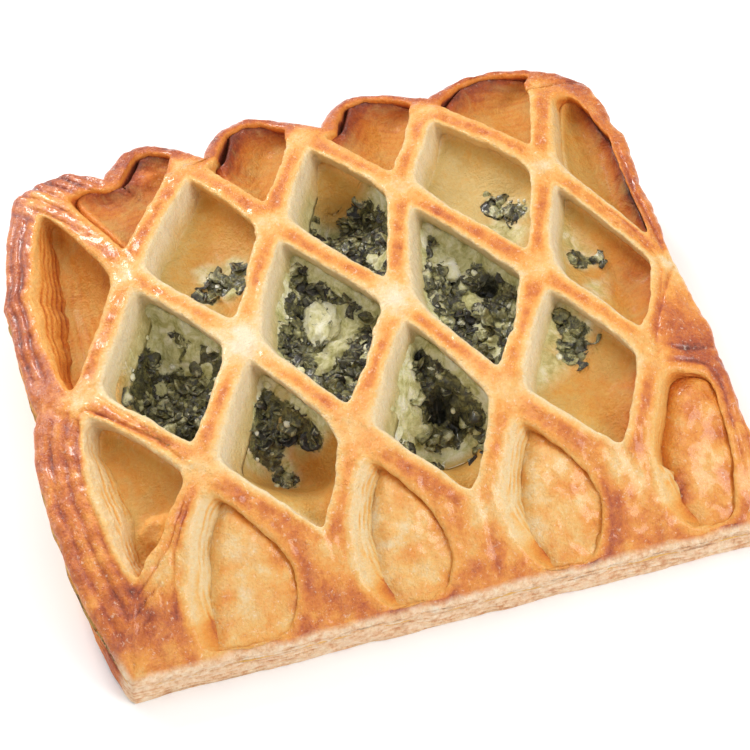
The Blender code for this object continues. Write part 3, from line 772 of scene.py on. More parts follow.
class LatticeSkin(Skin):
    # the lattice cell by cell; the points of a rim belong to every cell that meets there

    def __init__(self):
        super().__init__(("bake", "side", "layer", "green", "flaky", "moist", "peel"))
        self.loop = outlineLoop(lattice["step"])
        self.edge = np.array([point for key, point in self.loop])
        self.out = outwardNormals(self.edge)
        self.stores = {True: {}, False: {}}

    def rim(self, keys, points, upper):
        # a ring of shared points, made where they aren't there yet; the upper ones stand in for the rounding
        store = self.stores[upper]
        fresh = [n for n, key in enumerate(keys) if key not in store]
        if fresh:
            new = points[fresh]
            if upper:
                gaps = np.linalg.norm(new[:, None] - self.edge[None], axis=2)
                nearest = gaps.argmin(1)
                share = np.clip(1.0 - gaps[np.arange(len(new)), nearest] / lattice["inset"], 0.0, 1.0)
                new = new - self.out[nearest] * (form["rimRound"] * share)[:, None]
            ring = self.face(new, upper, side=0.0 if upper else 1.0)
            store.update({keys[n]: ring[row] for row, n in enumerate(fresh)})
        return np.array([store[key] for key in keys])

    def face(self, plan, upper, **values):
        x, y = plan.T
        z, bake = topFace(x, y) if upper else (sheetUnder(x, y), lattice["underBake"])
        return self.ring(xyz(x, y, z), bake=bake, **values)

    def rounded(self, edge, inward, turn, drop=1.0):
        # plan, height and browning on the rounding between a top face and a wall
        x, y = (edge + inward * (form["rimRound"] * (1 - math.sin(0.5 * math.pi * turn)))).T
        z, bake = topFace(x, y)
        return x, y, z - form["rimRound"] * (1 - math.cos(0.5 * math.pi * turn)) * drop, bake

    def opening(self, cell):
        # rings from the rim over the strips and down the cut walls, then back under the sheet
        keys, rim, counts = cellRim(cell["anchors"], lattice["step"])
        edge = openingEdge(cell, rim)
        wallBake, wallLayers = (loopBlend(cell[key], counts, 7) for key in ("wall", "layers"))
        rings = [self.rim(keys, rim, True)]
        start = self.at(rings[0])[:, :2]
        length = np.maximum(np.linalg.norm(edge - start, axis=1), 1e-6)
        unit = (edge - start) / length[:, None]
        flat = np.maximum(length - form["rimRound"], 0.2 * length)
        topCount = max(3, int(np.percentile(flat, 90) / lattice["topStep"]))
        lipTone = np.maximum(lattice["lipBake"], 0.8 * wallBake)
        for k in range(1, topCount + 1):
            x, y = (start + unit * (flat * k / topCount)[:, None]).T
            z, bake = topFace(x, y)
            away = np.maximum(length - flat * k / topCount - form["rimRound"], 0.0)
            lip = np.exp(-(away / lattice["lipWidth"]) ** 2)
            rings.append(self.ring(xyz(x, y, z), side=0.3 * lip, bake=mix(bake, lipTone, 0.6 * lip)))
        lipBake = np.minimum(lattice["lipBake"] + 0.5 * wallBake, wallBake + 0.04)
        for k in range(1, lattice["roundRings"] + 1):
            turn = k / lattice["roundRings"]
            x, y, z, bake = self.rounded(edge, -unit, turn, lattice["roundDrop"])
            bake = mix(mix(bake, lipTone, 0.6), lipBake, smooth(turn * 1.6))
            rings.append(self.ring(xyz(x, y, z), bake=bake, side=max(turn, 0.3), layer=0.3 * turn))
        thick = sheetThick(edge[:, 1])
        height = sheetTop(edge[:, 0], edge[:, 1])
        layered = smooth(wallLayers * 2.5 - 1.5)
        slope = (lattice["layerSlope"] + lattice["frontSlope"] * inFront(edge[:, 1], -38.0, 14.0)) * layered
        wallRings = lattice["layeredRings"] if max(cell["layers"]) > 0.5 else lattice["plainRings"]
        for k in range(1, wallRings + 1):
            depth = mix(form["rimRound"] * lattice["roundDrop"], thick + lattice["skirt"], k / wallRings)
            ratio = depth / thick
            x, y = (edge + unit * (slope * ratio)[:, None]).T
            juice = (0.45 + 0.35 * cell["leafy"]) * smooth((ratio - 0.35) / 0.65)
            juice = juice * smooth((1.12 - heapRadius(x, y)) / 0.2)
            bake = mix(lipBake, wallBake + 0.12 * smooth((ratio - 0.4) / 0.6), smooth(depth / 2.0))
            bake = bake + lattice["frontBake"] * inFront(y, -44.0, 9.0) * layered
            # the walls' moist share grows downwards: steam, and painted shade low in the opening
            rings.append(self.ring(xyz(x, y, height - depth), bake=bake, side=1.0, green=juice,
                                   layer=ratio * form["thick"], flaky=wallLayers * smooth(depth / 1.2),
                                   moist=0.5 * smooth((ratio - 0.2) / 0.8)))
        x, y = (0.5 * (rim + edge)).T
        rings.append(self.ring(xyz(x, y, sheetUnder(x, y) - 0.4), bake=lattice["underBake"], side=1.0))
        rings.append(self.rim(keys, rim, False))
        self.join(rings)

    def closedCell(self, anchors):
        # a cell without an opening: rings in to its middle, above and below
        keys, rim, counts = cellRim(anchors, lattice["step"])
        for upper in (True, False):
            rings = [self.rim(keys, rim, upper)]
            start = self.at(rings[0])[:, :2]
            across = start.mean(0) - start
            count = lattice["middleRings"] + 1
            rings += [self.face(start + across * (k / count), upper) for k in range(1, count)]
            if not upper:
                rings = [ring[::-1] for ring in rings]
            self.join(rings)
            self.faces.append(tuple(rings[-1]))

    def outerWall(self):
        # the outline's own wall, layered all the way down
        ends = [np.array([self.stores[upper][key] for key, point in self.loop]) for upper in (True, False)]
        rings = [ends[0]]
        thick = sheetThick(self.edge[:, 1])
        frontness = inFront(self.edge[:, 1], -50.0, 5.0)
        for k in range(1, lattice["roundRings"] + 1):
            turn = k / lattice["roundRings"]
            x, y, z, bake = self.rounded(self.edge, -self.out, turn)
            peel = smooth(turn * 2.0) * frontness
            rings.append(self.ring(xyz(x, y, z), bake=bake, side=0.5 * turn, peel=peel))
        for k in range(1, lattice["layeredRings"] + 1):
            depth = mix(form["rimRound"], thick + 0.2, k / lattice["layeredRings"])
            tuck = lattice["outerTuck"] * smooth((depth / thick - 0.3) / 0.5) * (1.0 - 0.8 * frontness)
            x, y = (self.edge - self.out * tuck[:, None]).T
            p = xyz(x, y, sheetTop(x, y) - depth)
            bake = lattice["outerBake"] + lattice["outerBlotches"] * grains(p, (9.0, 9.0, 3.0), 33)
            rings.append(self.ring(p, bake=bake, side=1.0, layer=puffed(depth, p, 35),
                                   flaky=smooth(depth / 1.5), peel=frontness))
        rings.append(ends[1])
        self.join([ring[::-1] for ring in rings])


def buildLattice():
    skin = LatticeSkin()
    for cell in openings.values():
        skin.opening(cell)
    for anchors in closedCells:
        skin.closedCell(anchors)
    skin.outerWall()
    points, values = skin.done()
    normals = meshNormals(points, skin.faces)
    top = 1.0 - values["side"]
    relief = lattice["puff"] * grains(points, 7.0, 3, 2) * (0.35 + 0.65 * top)
    relief += lattice["blister"] * (np.maximum(grains(points, 2.6, 11, 2), -0.1) * top)
    relief += lattice["flake"] * grains(points, 1.3, 15, 2)
    values["line"] = values.pop("flaky") * layerLines(values.pop("layer"), points, 21, lattice["layerPitch"])
    relief -= lattice["layerDepth"] * values["line"]
    points = points + normals * relief[:, None]
    # shear the walls: the foot of each stands right of its top
    x, y, z = points.T
    points[:, 0] += leanAt(x, y) * np.clip(sheetTop(x, y) - z, 0.0, form["leanDepth"]) / form["thick"]
    return points, skin.faces, values


mesh = buildLattice()
print("lattice:", len(mesh[0]), "points")
addPiece("puffLattice", "lattice_crust", "glazed_lattice", crustMaterial("bakedLattice"), *mesh)


base = {
    "step": 0.5, "wallRings": 30, "topRings": 66, "innerRadius": 0.88, "layerPitch": 1.3, "layerDepth": 0.40,
    "puff": 0.30, "bubbles": 0.42, "innerFloor": 6.5, "heapSeam": 0.955, "angleBlur": 14,
    "wallBake": 0.42, "footBake": 0.12, "wallBlotches": 0.20, "wallSwell": (0.45, 0.15), "bedBlotches": 0.16,
    "lumpCrease": 0.8,
}
# Toasted patches on the base's own faces, and on the beds in the openings, some of them painted shade: (x, y,
# radius, strength)
baseToast = ((-58, -45, 6, 0.16), (-55, -52, 5, 0.24), (-60, -20, 8, 0.05), (-59, -40, 2.5, 0.30),
             (-57, -48, 2.5, 0.30))
bedToastAndShade = (
    # the first two darken the right-hand corners of C4 and B4: painted shade of the walls there
    (54.5, -3, 4.5, 0.14), (56.5, 3, 4.5, 0.12), (46.9, -27.7, 4, 0.12), (41, -35.3, 4, 0.10),
    (64, 14.9, 5, 0.20), (47.6, -48.5, 3, 0.34), (43, -41, 4, 0.10), (15, -47, 4, 0.10), (-14, -47, 4, 0.10),
    (-40, -50, 4, 0.10),
)
# Crumpled lumps of pastry that stand up from a bed: (x, y, radius, height)
bedLumps = ((-44, -33.5, 2.8, 3.4), (-47, -31.5, 2, 2.6), (-42.5, -37.5, 1.8, 2.6), (-35, 46, 3, 2.2),
            (-30, 44, 2.2, 1.6), (47.6, -47.5, 2.6, 1.0))


def bedPuff(points):
    # unevenness the filling and the base share, so that they meet without a step
    return base["puff"] * grains(points, 6.0, 61, 2)


def baseFloor(x, y):
    under = sheetUnder(x, y) - form["seamGap"]
    return under + (form["floorTop"] - under) * smooth((1.22 - heapRadius(x, y)) / 0.42)


# browning of a bed, turning to its side's value near the walls, which holds painted shade on right-hand
# sides, plus the patches
def bedBake(at, x, y):
    near = np.exp(-np.maximum(at["deep"], 0.0) / 2.6)
    return mix(at["bed"], at["edge"], near) + spotSum(x, y, bedToastAndShade)


# a bed's moist share: steam-baked and duller, and darker as painted shade, most of all near the walls
def bedMoist(at):
    return (1.0 - at["pillow"]) * (0.75 + 0.25 * smooth(1.0 - at["deep"] / 3.0))


def footPlace(name):
    x, y = edgePoints[name]
    return (x, max(y, foot["backY"])) if name.startswith("K") else (x, y)


def footLine():
    # the base's outline on the table, straighter than the seam above it
    points = []
    for a, b, swell, peak in outline:
        swell, peak = foot["sides"].get((a, b), (swell * foot["swell"], peak))
        steps = len(chainOf(a, b, base["step"]))
        points.extend(sidePoint(footPlace(a), footPlace(b), n / steps, swell, peak) for n in range(steps))
    return np.array(points)


def heapEllipse(start):
    # a point under the filling for each point of the seam, spread so that no fold shows
    centre, half, wide = np.array(form["heapCentre"]), np.array(form["heapHalf"]), base["angleBlur"]
    angles = np.unwrap(np.arctan2(*((start - centre) / half).T[::-1]))
    padded = np.concatenate([angles[-wide:] - 2 * math.pi, angles, angles[:wide] + 2 * math.pi])
    angles = np.convolve(padded, np.full(2 * wide + 1, 1.0 / (2 * wide + 1)), "valid")
    return centre + half * base["innerRadius"] * np.stack([np.cos(angles), np.sin(angles)], axis=1)


def baseWall(skin):
    seam = np.array([point for key, point in outlineLoop(base["step"])])
    footPoints = footLine()
    seamHeight = sheetUnder(seam[:, 0], seam[:, 1]) + 0.3
    rings = []
    for k in range(base["wallRings"] + 1):
        level = k / base["wallRings"]
        plan = footPoints + (seam - footPoints) * smooth((level - 0.25) / 0.7)
        inset = 0.7 * (1 - smooth(level / 0.06)) + 0.35
        frontness = inFront(plan[:, 1], -52.0, 3.0)
        x, y = (plan - outwardNormals(plan) * (inset - 0.3 * frontness)[:, None]).T
        p = xyz(x, y, level * seamHeight)
        bake = base["wallBake"] + base["footBake"] * smooth(1.0 - level / 0.3)
        bake = bake + base["wallBlotches"] * grains(p, (11.0, 11.0, 4.0), 53) + spotSum(x, y, baseToast)
        rings.append(skin.ring(p, bake=bake, side=0.6, layer=puffed(p[:, 2], p, 55),
                               flaky=mix(0.7, 1.0, frontness), peel=frontness))
    return rings


def baseBeds(skin, start):
    inner = heapEllipse(start)
    rings = []
    for k in range(1, base["topRings"] + 1):
        x, y = mix(start, inner, (k / base["topRings"]) ** 0.9).T
        at = interior(x, y, baseFloor(x, y) + 0.3)
        inside = smooth(at["deep"] / 1.2)
        lump = spotSum(x, y, bedLumps) * inside
        under = smooth((base["heapSeam"] - heapRadius(x, y)) / 0.05)
        z = mix(at["level"] + lump, base["innerFloor"], under)
        pillow = at["pillow"] * inside
        moist = bedMoist(at) * (1.0 - smooth(lump / 1.5)) * inside
        rings.append(skin.ring(xyz(x, y, z), bake=bedBake(at, x, y), side=0.5 - 0.5 * pillow, pillow=pillow,
                               bed=1.0, moist=moist, lump=np.minimum(lump, 1.0),
                               layer=outlineDistance(x, y) * 0.8, flaky=at["arcs"] * inside))
    return rings


def buildBase():
    skin = Skin(("bake", "side", "layer", "green", "flaky", "pillow", "moist", "peel", "lump", "bed"))
    rings = baseWall(skin)
    rings += baseBeds(skin, skin.at(rings[-1])[:, :2])
    skin.join(rings)
    skin.cap(rings)
    points, values = skin.done()
    normals = meshNormals(points, skin.faces)
    pillow, flaky, lump, bed = (values.pop(key) for key in ("pillow", "flaky", "lump", "bed"))
    values["line"] = flaky * layerLines(values.pop("layer"), points, 51, base["layerPitch"])
    wide, fine = base["wallSwell"]
    swell = wide * grains(points, (7.0, 7.0, 4.0), 57, 2) + fine * grains(points, 1.6, 59, 2)
    relief = swell * (1.0 - bed) - base["layerDepth"] * values["line"]
    relief += bedPuff(points) * bed + base["bubbles"] * grains(points, 2.8, 63, 2) * pillow
    relief += lump * base["lumpCrease"] * creases(points, 3.0, 67, 2)
    values["bake"] = values["bake"] + base["bedBlotches"] * grains(points, 3.4, 65, 2) * (0.25 + pillow)
    points = points + normals * (relief * smooth(points[:, 2] / 0.6))[:, None]
    return points, skin.faces, values


mesh = buildBase()
print("base:", len(mesh[0]), "points")
addPiece("layeredBase", "base_crust", "baked_base", crustMaterial("bakedBase"), *mesh)


filling = {
    "top": 17.0, "rings": 104, "around": 620, "rimRadii": (0.8, 0.9, 0.99), "lump": 1.6, "lumpSink": 1.3,
    "crinkle": 0.70, "fineCrinkle": 0.34, "marble": 0.55, "creamRise": 0.7, "underCream": 0.9,
    "scrapCount": 760, "scrapSize": (0.8, 2.2), "scrapThick": 0.06, "scrapFold": (0.30, 0.28, 0.35),
    "scrapTilt": 0.45, "scrapRise": 0.25, "scrapGrid": (13, 3), "crumbCount": 90, "crumbSize": (0.4, 1.0),
    "crumbTilt": 0.3, "crumbRise": 0.35, "crumbGrid": (14, 8),
    "lumpGrid": (90, 50), "lumpFolds": (0.22, 0.14),
    "hollowShadowColour": "060805", "fleckColour": "3f4430",
    "leafStops": ((0.12, "16130e"), (0.32, "332f28"), (0.48, "585538"), (0.64, "8c8650"), (0.82, "cdc692")),
    "cheeseStops": ((0.24, "b0a968"), (0.40, "d8d19b"), (0.54, "ebe5c2"), (0.70, "f6f2e0")),
    "creamStops": ((0.24, "7d7a44"), (0.38, "b3ac6c"), (0.50, "d3cc95"), (0.62, "e6dfbc"), (0.80, "f3eed9")),
}
# Where the spinach shows in openings that are bare pastry otherwise: (x, y, radius)
leafSpots = (
    (-22.2, -14, 3.4), (-21.8, -19, 3), (-15.6, -17, 3.2), (-12, -20.6, 2.6), (-24.4, -18.3, 2.8),
    (-20.5, -23.6, 2.4), (37.8, -17.5, 3), (38.2, -13.4, 2.4), (36.1, -10.4, 1.2), (41, -15, 1.6),
    (45.6, 3, 1.9), (49.4, 3.6, 2.4), (52, 2.4, 1.7), (51, -3, 2.1), (35.7, 20.4, 2.2), (37.8, 17, 2.2),
    (34.1, 23.6, 1), (39.2, 21.8, 1), (-22.6, 16.3, 2.6), (-18.3, 17.3, 2), (-26.1, 13.2, 1.8),
    (-20.1, 14, 2.2), (-49.7, -13.9, 1.3), (-48.4, -16.5, 0.9),
)
# Lumps of cheese and cream in the spinach, and cream soaked into the pastry round it: (x, y, radius)
creamSpots = (
    (-35.8, 6.2, 2.6), (-38.2, 1.6, 1.3), (-42.5, -6.2, 1.1), (-31.6, 2, 1.6), (-29.7, -1.2, 1.3),
    (-37, 9.5, 2.4), (-7.6, -5.5, 1.9), (-4.8, -2.7, 1.7), (-10, -8, 1.4), (-0.6, 8.5, 1.9),
    (-3.9, 4.4, 2.4), (-0.5, 1, 1.9), (-4.5, 12.5, 1.6), (27, 13.3, 2.6), (20.9, 12, 2), (31.2, 9, 2.2),
    (23.4, 0.5, 1.7), (26, 9.5, 2.6),
    (5.6, -8, 2.4), (3.8, -15.6, 3.6), (3.2, -21.5, 3.8), (4.6, -27, 3), (11, -29.4, 3), (14.6, -27, 2),
    (8.2, -33.9, 1.6), (-18.6, -21.5, 1.5), (3, 29.4, 1.8), (7.7, 15.7, 1.1), (9.6, 13.1, 1.3),
    (0.4, 27.5, 1.4), (49.1, -3.3, 1.8), (49, 5, 1.4), (-21, 12.6, 1),
)
filmSpots = (
    (33.5, -12.4, 3.6), (32, -22.1, 3.8), (41.2, -16.3, 2.6), (38, -10.5, 3.2), (47.7, 5, 3), (48.4, -4.7, 3),
    (47.1, 9.2, 2.6), (33.5, 12.5, 3.6), (38.4, 16.7, 2.8), (-24, 18.8, 2.6), (-18.7, 19.7, 2.2),
    (-49, -15.8, 2.8), (-21, -12, 5), (-26.7, -21.5, 3.2), (-14, -17, 4), (52.5, -3, 2.6),
)
# Gaps between the leaves, dented into the heap and painted near-black as their shadow: (x, y, radius, depth)
hollows = (
    (10.6, -19.2, 2.7, 4.8), (13.2, -22.5, 1.7, 2.4), (9.2, -11, 1.4, 1.8), (21.2, 6.6, 1.7, 3.2),
    (27.2, 2.4, 1.9, 3.2), (45.3, 3.3, 1.1, 1.4), (-9.8, 6, 1.4, 1.8), (-34, -11.5, 1.2, 1.4),
    (13.5, -34, 1.4, 1.6), (5, 20.5, 1.3, 1.6), (-14.5, -13, 1.2, 1.4),
)
# Lumps of cheese: x, y, z, half sizes and turn in degrees
cheeseLumps = (
    (23.0, 10.5, 17.2, 5.8, 3.6, 1.9, 8.0), (-1.5, -21.0, 16.6, 3.5, 7.0, 1.8, 8.0),
    (-5.5, 4.0, 17.2, 3.4, 5.6, 1.8, -25.0), (30.0, -14.0, 16.0, 3.2, 5.4, 1.7, 15.0),
)


def lumpNearness(x, y):
    # 1 over a lump of cheese, fading out round it
    near = np.zeros(len(x))
    for lx, ly, lz, hx, hy, hz, turn in cheeseLumps:
        near = np.maximum(near, smooth(1.45 - np.hypot((x - lx) / hx, (y - ly) / hy)))
    return near


def heapLevel(x, y):
    radius = np.minimum(heapRadius(x, y), 1.02)
    edge = baseFloor(x, y) + 0.3
    z = edge + (filling["top"] - edge) * smooth((1.0 - radius) / 0.5)
    z += filling["lump"] * grains(xyz(x, y, 0.0), 6.5, 71, 2) * smooth((1.0 - radius) / 0.15)
    return z - spotSum(x, y, hollows) - filling["lumpSink"] * lumpNearness(x, y)


def nearSpots(x, y, spots, waver=0.25):
    # 1 inside any of the spots, fading out over the last part of its radius, with ragged borders
    total = np.zeros(len(x))
    shift = waver * grains(xyz(x, y, 0.0), 2.4, 87, 2)
    for sx, sy, radius in spots:
        total = np.maximum(total, smooth(1.6 + shift - np.hypot(x - sx, y - sy) / radius))
    return total


def hollowness(x, y):
    return nearSpots(x, y, [(hx, hy, 0.8 * radius) for hx, hy, radius, depth in hollows])


def leafCover(at, x, y):
    # how much spinach lies on the surface
    inside = smooth((at["deep"] - 0.2) / 1.4)
    marble = filling["marble"] * smooth((grains(xyz(x, y, 0.0), 3.4, 89, 3) - 0.16) / 0.25)
    cover = np.maximum(at["leafy"] - marble, nearSpots(x, y, leafSpots))
    cover = cover - filling["underCream"] * np.maximum(nearSpots(x, y, creamSpots), lumpNearness(x, y))
    # the hollows count as leaf, so they sit dark under their painted shadow
    return inside * np.clip(cover + hollowness(x, y), 0.0, 1.0)


def creamCover(at, x, y):
    # 1 where the surface is cream, 0 where it is bare pastry
    cover = np.maximum(at["leafy"], nearSpots(x, y, leafSpots))
    return np.maximum(cover, 0.75 * nearSpots(x, y, filmSpots, 0.5))


def fillingMaterial():
    s = Shading("juicyFilling", Coat_Roughness=0.14, Specular_IOR_Level=0.4,
                Subsurface_Weight=0.12, Subsurface_Scale=0.002, Subsurface_Radius=(1.0, 0.7, 0.3))
    pastry, _, normal, _ = crustFinish(s)
    cream = s.ramp(s.noise(360.0, 5.0, 0.66, 0.7), filling["creamStops"])
    colour = s.blend(s.attribute("cream"), pastry, cream)
    patches = s.times(s.maths("SUBTRACT", s.noise(430.0, 5.0, 0.68, 0.9), 0.5), 1.5)
    patches = s.span(s.add(s.attribute("leaf"), patches), 0.40, 0.62)
    leaf = s.ramp(s.noise(760.0, 5.0, 0.7, 0.6), filling["leafStops"])
    colour = s.blend(patches, colour, leaf)
    # painted shadow: the hollows are coloured near-black
    s.link(s.blend(s.times(s.attribute("hollow"), 0.9), colour, filling["hollowShadowColour"]), "Base Color")
    s.link(s.span(patches, 0.0, 1.0, 0.46, 0.26), "Roughness")
    s.link(s.span(patches, 0.0, 1.0, 0.05, 0.5), "Coat Weight")
    s.link(s.bump(s.noise(1000.0, 5.0, 0.7), 0.0006, s.span(patches, 0.0, 1.0, 0.2, 0.9), normal), "Normal")
    return s.material


def leafMaterial():
    s = Shading("cookedLeaf", Roughness=0.40, Coat_Weight=0.35, Coat_Roughness=0.12, Subsurface_Weight=0.05,
                Subsurface_Scale=0.001)
    grit = s.times(s.noise(820.0, 5.0, 0.7, 0.6), 0.8)
    leaf = s.ramp(s.add(s.attribute("shade"), grit), filling["leafStops"])
    smears = s.span(s.noise(330.0, 5.0, 0.7, 0.8), 0.50, 0.64, 0.0, 0.85)
    s.link(s.blend(smears, leaf, s.ramp(s.noise(500.0, 4.0), filling["creamStops"])), "Base Color")
    s.link(s.bump(s.noise(1400.0, 5.0, 0.7), 0.0005, 0.9), "Normal")
    return s.material


def creamMaterial():
    s = Shading("softCheese", Roughness=0.4, Coat_Weight=0.2, Coat_Roughness=0.2, Subsurface_Weight=0.25,
                Subsurface_Scale=0.002, Subsurface_Radius=(1.0, 0.9, 0.5))
    cream = s.ramp(s.noise(430.0, 5.0, 0.66, 0.6), filling["cheeseStops"])
    flecks = s.span(s.noise(620.0, 4.0, 0.7, 0.8), 0.60, 0.70)
    s.link(s.blend(flecks, cream, filling["fleckColour"]), "Base Color")
    s.link(s.bump(s.noise(900.0, 5.0, 0.65), 0.0006, 0.9), "Normal")
    return s.material


def onHeap(radius, angle):
    # a place on the heap, from its share of the heap's radius and an angle
    (cx, cy), (hx, hy) = form["heapCentre"], form["heapHalf"]
    return cx + hx * radius * np.cos(angle), cy + hy * radius * np.sin(angle)


def buildCore():
    skin = Skin(("bake", "side", "moist", "cream", "leaf", "hollow"))
    angles = np.linspace(0, 2 * math.pi, filling["around"], endpoint=False)
    rings = []
    for radius in filling["rimRadii"]:
        x, y = onHeap(radius, angles)
        rings.append(skin.ring(xyz(x, y, baseFloor(x, y) + 0.1)))
    for k in range(filling["rings"]):
        radius = 1.0 - 0.99 * k / (filling["rings"] - 1)
        x, y = onHeap(radius, angles)
        at = interior(x, y, heapLevel(x, y))
        inner = smooth((1.0 - radius) / 0.04)
        fade = smooth((1.0 - radius) / 0.13)
        cream = creamCover(at, x, y) * fade
        cheese = nearSpots(x, y, creamSpots) * smooth(at["deep"] / 1.5) * cream
        z = at["level"] + filling["creamRise"] * cheese + mix(-0.12, 0.10, inner)
        rings.append(skin.ring(xyz(x, y, z), bake=bedBake(at, x, y), side=0.5, moist=bedMoist(at),
                               hollow=hollowness(x, y), cream=cream, leaf=leafCover(at, x, y) * fade))
    skin.join(rings)
    skin.cap(rings)
    points, values = skin.done()
    normals = meshNormals(points, skin.faces)
    crinkle = filling["crinkle"] * creases(points, 2.8, 73, 2)
    crinkle = crinkle + filling["fineCrinkle"] * creases(points, 1.2, 77, 2)
    crinkle = crinkle * np.maximum(values["leaf"], 0.45 * values["cream"])
    values["hollow"] = values["hollow"] * (values["leaf"] > 0.3)
    return points + normals * (bedPuff(points) + crinkle)[:, None], skin.faces, values


def heapSpots(count, rng, wanted):
    # places on the heap that show through the openings
    tries = count * 14
    radius, angle = np.sqrt(rng.random(tries)) * 1.12, rng.random(tries) * 2 * math.pi
    x, y = onHeap(radius, angle)
    at = interior(x, y, heapLevel(x, y))
    keep = np.flatnonzero(((radius < 0.97) | (y < -20.0)) & (at["deep"] > 0.5) & wanted(at, x, y))[:count]
    return x[keep], y[keep], at["level"][keep]


def ballGrid(around, high):
    # points and faces of a ball of unit radius
    phi = np.linspace(0, 2 * math.pi, around, endpoint=False)
    skin = Skin(())
    rings = []
    for t in np.linspace(0, math.pi, high + 2)[1:-1]:
        rings.append(skin.ring(xyz(math.sin(t) * np.cos(phi), math.sin(t) * np.sin(phi), math.cos(t))))
    skin.join(rings[::-1])
    skin.faces.append(tuple(rings[0]))
    skin.faces.append(tuple(rings[-1][::-1]))
    return skin.done()[0], skin.faces


def leafGrid(around, rings):
    # plan points and faces of a round leaf with two sides that share its rim; face is 1 above, -1 below
    phi = np.linspace(0, 2 * math.pi, around, endpoint=False)
    skin = Skin(("face",))
    upper, lower = [], []
    for k in range(1, rings + 1):
        circle = xyz(np.cos(phi) * k / rings, np.sin(phi) * k / rings, 0.0)
        upper.append(skin.ring(circle, face=0.0 if k == rings else 1.0))
        lower.append(upper[-1] if k == rings else skin.ring(circle, face=-1.0))
    skin.join(upper[::-1])
    skin.join(lower)
    skin.faces.append(tuple(upper[0]))
    skin.faces.append(tuple(lower[0][::-1]))
    points, values = skin.done()
    return points, values["face"], skin.faces


def turned(p, rng, tilt):
    # turned any way round the vertical, and tipped about a random level axis
    turn, tip = rng.random() * 2 * math.pi, rng.normal(0, tilt)
    c, s, ct, st = math.cos(turn), math.sin(turn), math.cos(tip), math.sin(tip)
    x, y, z = p[:, 0], p[:, 1] * ct - p[:, 2] * st, p[:, 1] * st + p[:, 2] * ct
    return np.stack([x * c - y * s, x * s + y * c, z], axis=1)


def scattered(places, sizes, shell, rise, shape):
    # many small bodies in one mesh; shape gives the points of one and a shade for each point
    allPoints, allFaces, shades = [], [], []
    for n, (x, y, z, size) in enumerate(zip(*places, sizes)):
        points, shade = shape(n, size)
        allPoints.append(points + np.array((x, y, z + rise)))
        allFaces.extend([tuple(i + n * len(points) for i in ring) for ring in shell])
        shades.append(shade)
    return np.concatenate(allPoints), allFaces, {"shade": np.concatenate(shades)}


def leafScraps(places, sizes, rng):
    # ruffled scraps of leaf
    disc, face, shell = leafGrid(*filling["scrapGrid"])
    out = np.hypot(disc[:, 0], disc[:, 1])
    crease, wave, curl = filling["scrapFold"]

    def scrap(n, size):
        seat = disc + n * 7.3
        p = disc * (1.0 + 0.38 * grain(disc / np.maximum(out, 0.2)[:, None] + n * 3.7, 0.8, 81))[:, None]
        p[:, 1] *= 0.55 + 0.4 * rng.random()
        fold = crease * creases(seat, 0.9, 83, 2) + wave * grain(seat, 0.9, 85)
        fold = fold + rng.normal(0, curl) * p[:, 0] ** 2
        p[:, 2] = fold + filling["scrapThick"] * face
        # each point's shade: a random tone for the scrap, lighter on the raised folds as a painted highlight
        return turned(p * size, rng, filling["scrapTilt"]), 0.12 * rng.normal() + 0.02 + 0.22 * fold

    return scattered(places, sizes, shell, filling["scrapRise"], scrap)


def softCrumbs(places, sizes, rng):
    # soft crumbs: balls swollen by noise, flattened and turned
    ball, shell = ballGrid(*filling["crumbGrid"])

    def crumb(n, size):
        seat = ball + n * 7.7
        radius = 1.0 + 0.35 * grains(seat, 1.1, 95, 2) + 0.16 * creases(seat, 0.7, 97, 2)
        stretch = np.array((1.0, 0.6 + 0.35 * rng.random(), 0.5 + 0.3 * rng.random())) * size
        return turned(ball * radius[:, None] * stretch, rng, filling["crumbTilt"]), np.zeros(len(ball))

    return scattered(places, sizes, shell, filling["crumbRise"], crumb)[:2]


mesh = buildCore()
print("filling core:", len(mesh[0]), "points")
addPiece("fillingCore", "spinach_filling", "cooked_spinach", fillingMaterial(), *mesh)

rng = np.random.default_rng(5)
leafy = lambda at, x, y: (leafCover(at, x, y) > 0.42) & (hollowness(x, y) < 0.5)
places = heapSpots(filling["scrapCount"], rng, leafy)
sizes = mix(*filling["scrapSize"], rng.random(len(places[0])) ** 1.5)
mesh = leafScraps(places, sizes, rng)
addPiece("choppedSpinach", "spinach_filling", "cooked_spinach", leafMaterial(), *mesh)
print("leaves:", len(places[0]))

rng = np.random.default_rng(9)
crumbly = lambda at, x, y: (leafCover(at, x, y) > 0.1) & (hollowness(x, y) < 0.3)
places = heapSpots(filling["crumbCount"], rng, crumbly)
sizes = mix(*filling["crumbSize"], rng.random(len(places[0])) ** 1.5)
cheese = creamMaterial()
addPiece("cheeseCrumbs", "spinach_filling", "soft_cheese", cheese, *softCrumbs(places, sizes, rng))
print("crumbs:", len(places[0]))

ball, shell = ballGrid(*filling["lumpGrid"])
wide, fine = filling["lumpFolds"]
for number, (cx, cy, cz, hx, hy, hz, turn) in enumerate(cheeseLumps):
    seat = ball + number * 5.0
    lumpy = 1.0 + wide * grains(seat, 0.9, 101, 2) + fine * creases(seat, 0.40, 103, 3)
    x, y, z = (ball * lumpy[:, None] * np.array((hx, hy, hz))).T
    c, s = math.cos(math.radians(turn)), math.sin(math.radians(turn))
    points = xyz(cx + x * c - y * s, cy + x * s + y * c, cz + z)
    addPiece(f"cheeseLump{number + 1}", f"cheese_lump_{number + 1}", "soft_cheese", cheese, points, shell)
print("filling done")


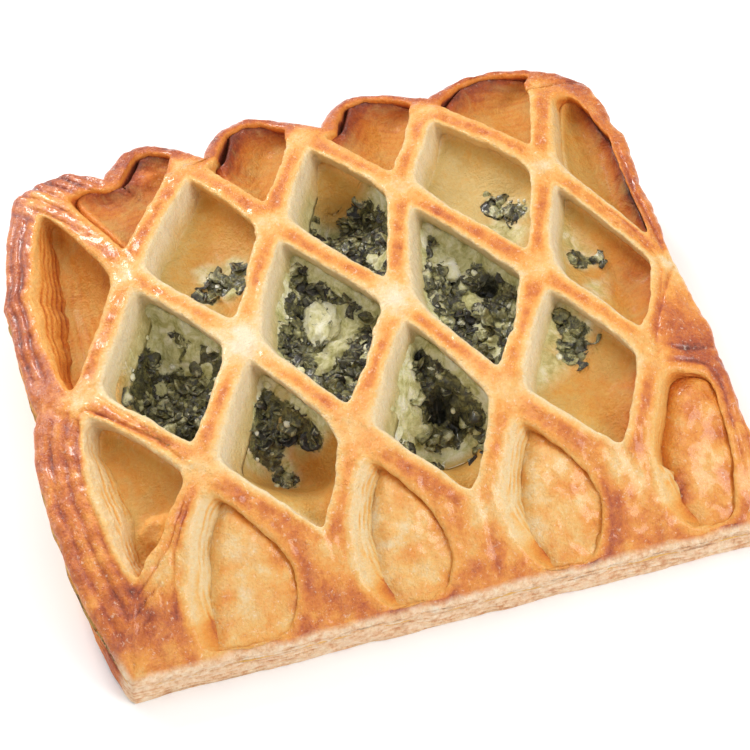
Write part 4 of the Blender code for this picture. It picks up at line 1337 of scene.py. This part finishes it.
studio = {
    "floorColour": "ffffff", "floorHalf": 1.5, "world": 0.50,
    "azimuth": -16.0, "elevation": 55.0, "distance": 0.434, "target": (0.00415, 0.00115, 0.0), "lens": 105.6,
    "lights": (
        # name, place, size, power
        ("keyBox", (0.42, -0.34, 0.46), (0.36, 0.36), 2.45),
        ("backSoftbox", (-0.34, 0.46, 0.36), (0.4, 0.3), 1.2),
        ("backGlint", (-0.16, 0.44, 0.52), (0.10, 0.10), 0.9),
        ("rimGlint", (-0.14, 0.47, 0.30), (0.10, 0.10), 1.0),
        ("frontFill", (-0.3, -0.6, 0.45), (0.6, 0.5), 0.8),
        ("topBox", (0.05, 0.1, 0.8), (0.5, 0.5), 1.1),
    ),
}

floorMesh = bpy.data.meshes.new("floor")
half = studio["floorHalf"]
corners = [(-half, -half, 0), (half, -half, 0), (half, half, 0), (-half, half, 0)]
floorMesh.from_pydata(corners, [], [(0, 1, 2, 3)])
floor = bpy.data.objects.new("floor", floorMesh)
bpy.context.scene.collection.objects.link(floor)
floorLook = Shading("paleFloor", Roughness=0.9)
floorLook.surface.inputs["Base Color"].default_value = linear(studio["floorColour"])
floorMesh.materials.append(floorLook.material)
floor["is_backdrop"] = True

world = bpy.data.worlds.new("studioWorld")
world.use_nodes = True
world.node_tree.nodes["Background"].inputs["Color"].default_value = (1.0, 1.0, 1.0, 1.0)
world.node_tree.nodes["Background"].inputs["Strength"].default_value = studio["world"]
bpy.context.scene.world = world
bpy.context.scene.view_settings.view_transform = "Standard"

for name, spot, size, power in studio["lights"]:
    light = bpy.data.lights.new(name, "AREA")
    light.shape = "RECTANGLE"
    light.size, light.size_y = size
    light.energy = power
    lamp = bpy.data.objects.new(name, light)
    bpy.context.scene.collection.objects.link(lamp)
    lamp.location = spot
    lamp.rotation_euler = (-Vector(spot)).to_track_quat("-Z", "Y").to_euler()

camera = bpy.data.objects.new("camera", bpy.data.cameras.new("camera"))
bpy.context.scene.collection.objects.link(camera)
az, el = math.radians(studio["azimuth"]), math.radians(studio["elevation"])
back = Vector((math.sin(az) * math.cos(el), -math.cos(az) * math.cos(el), math.sin(el)))
camera.location = Vector(studio["target"]) + back * studio["distance"]
camera.rotation_euler = (-back).to_track_quat("-Z", "Y").to_euler()
camera.data.lens = studio["lens"]
camera.data.sensor_width = 36.0
bpy.context.scene.camera = camera

sizes = {"cad": [list(corner) for corner in cadBox], "visual": [list(corner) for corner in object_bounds()]}
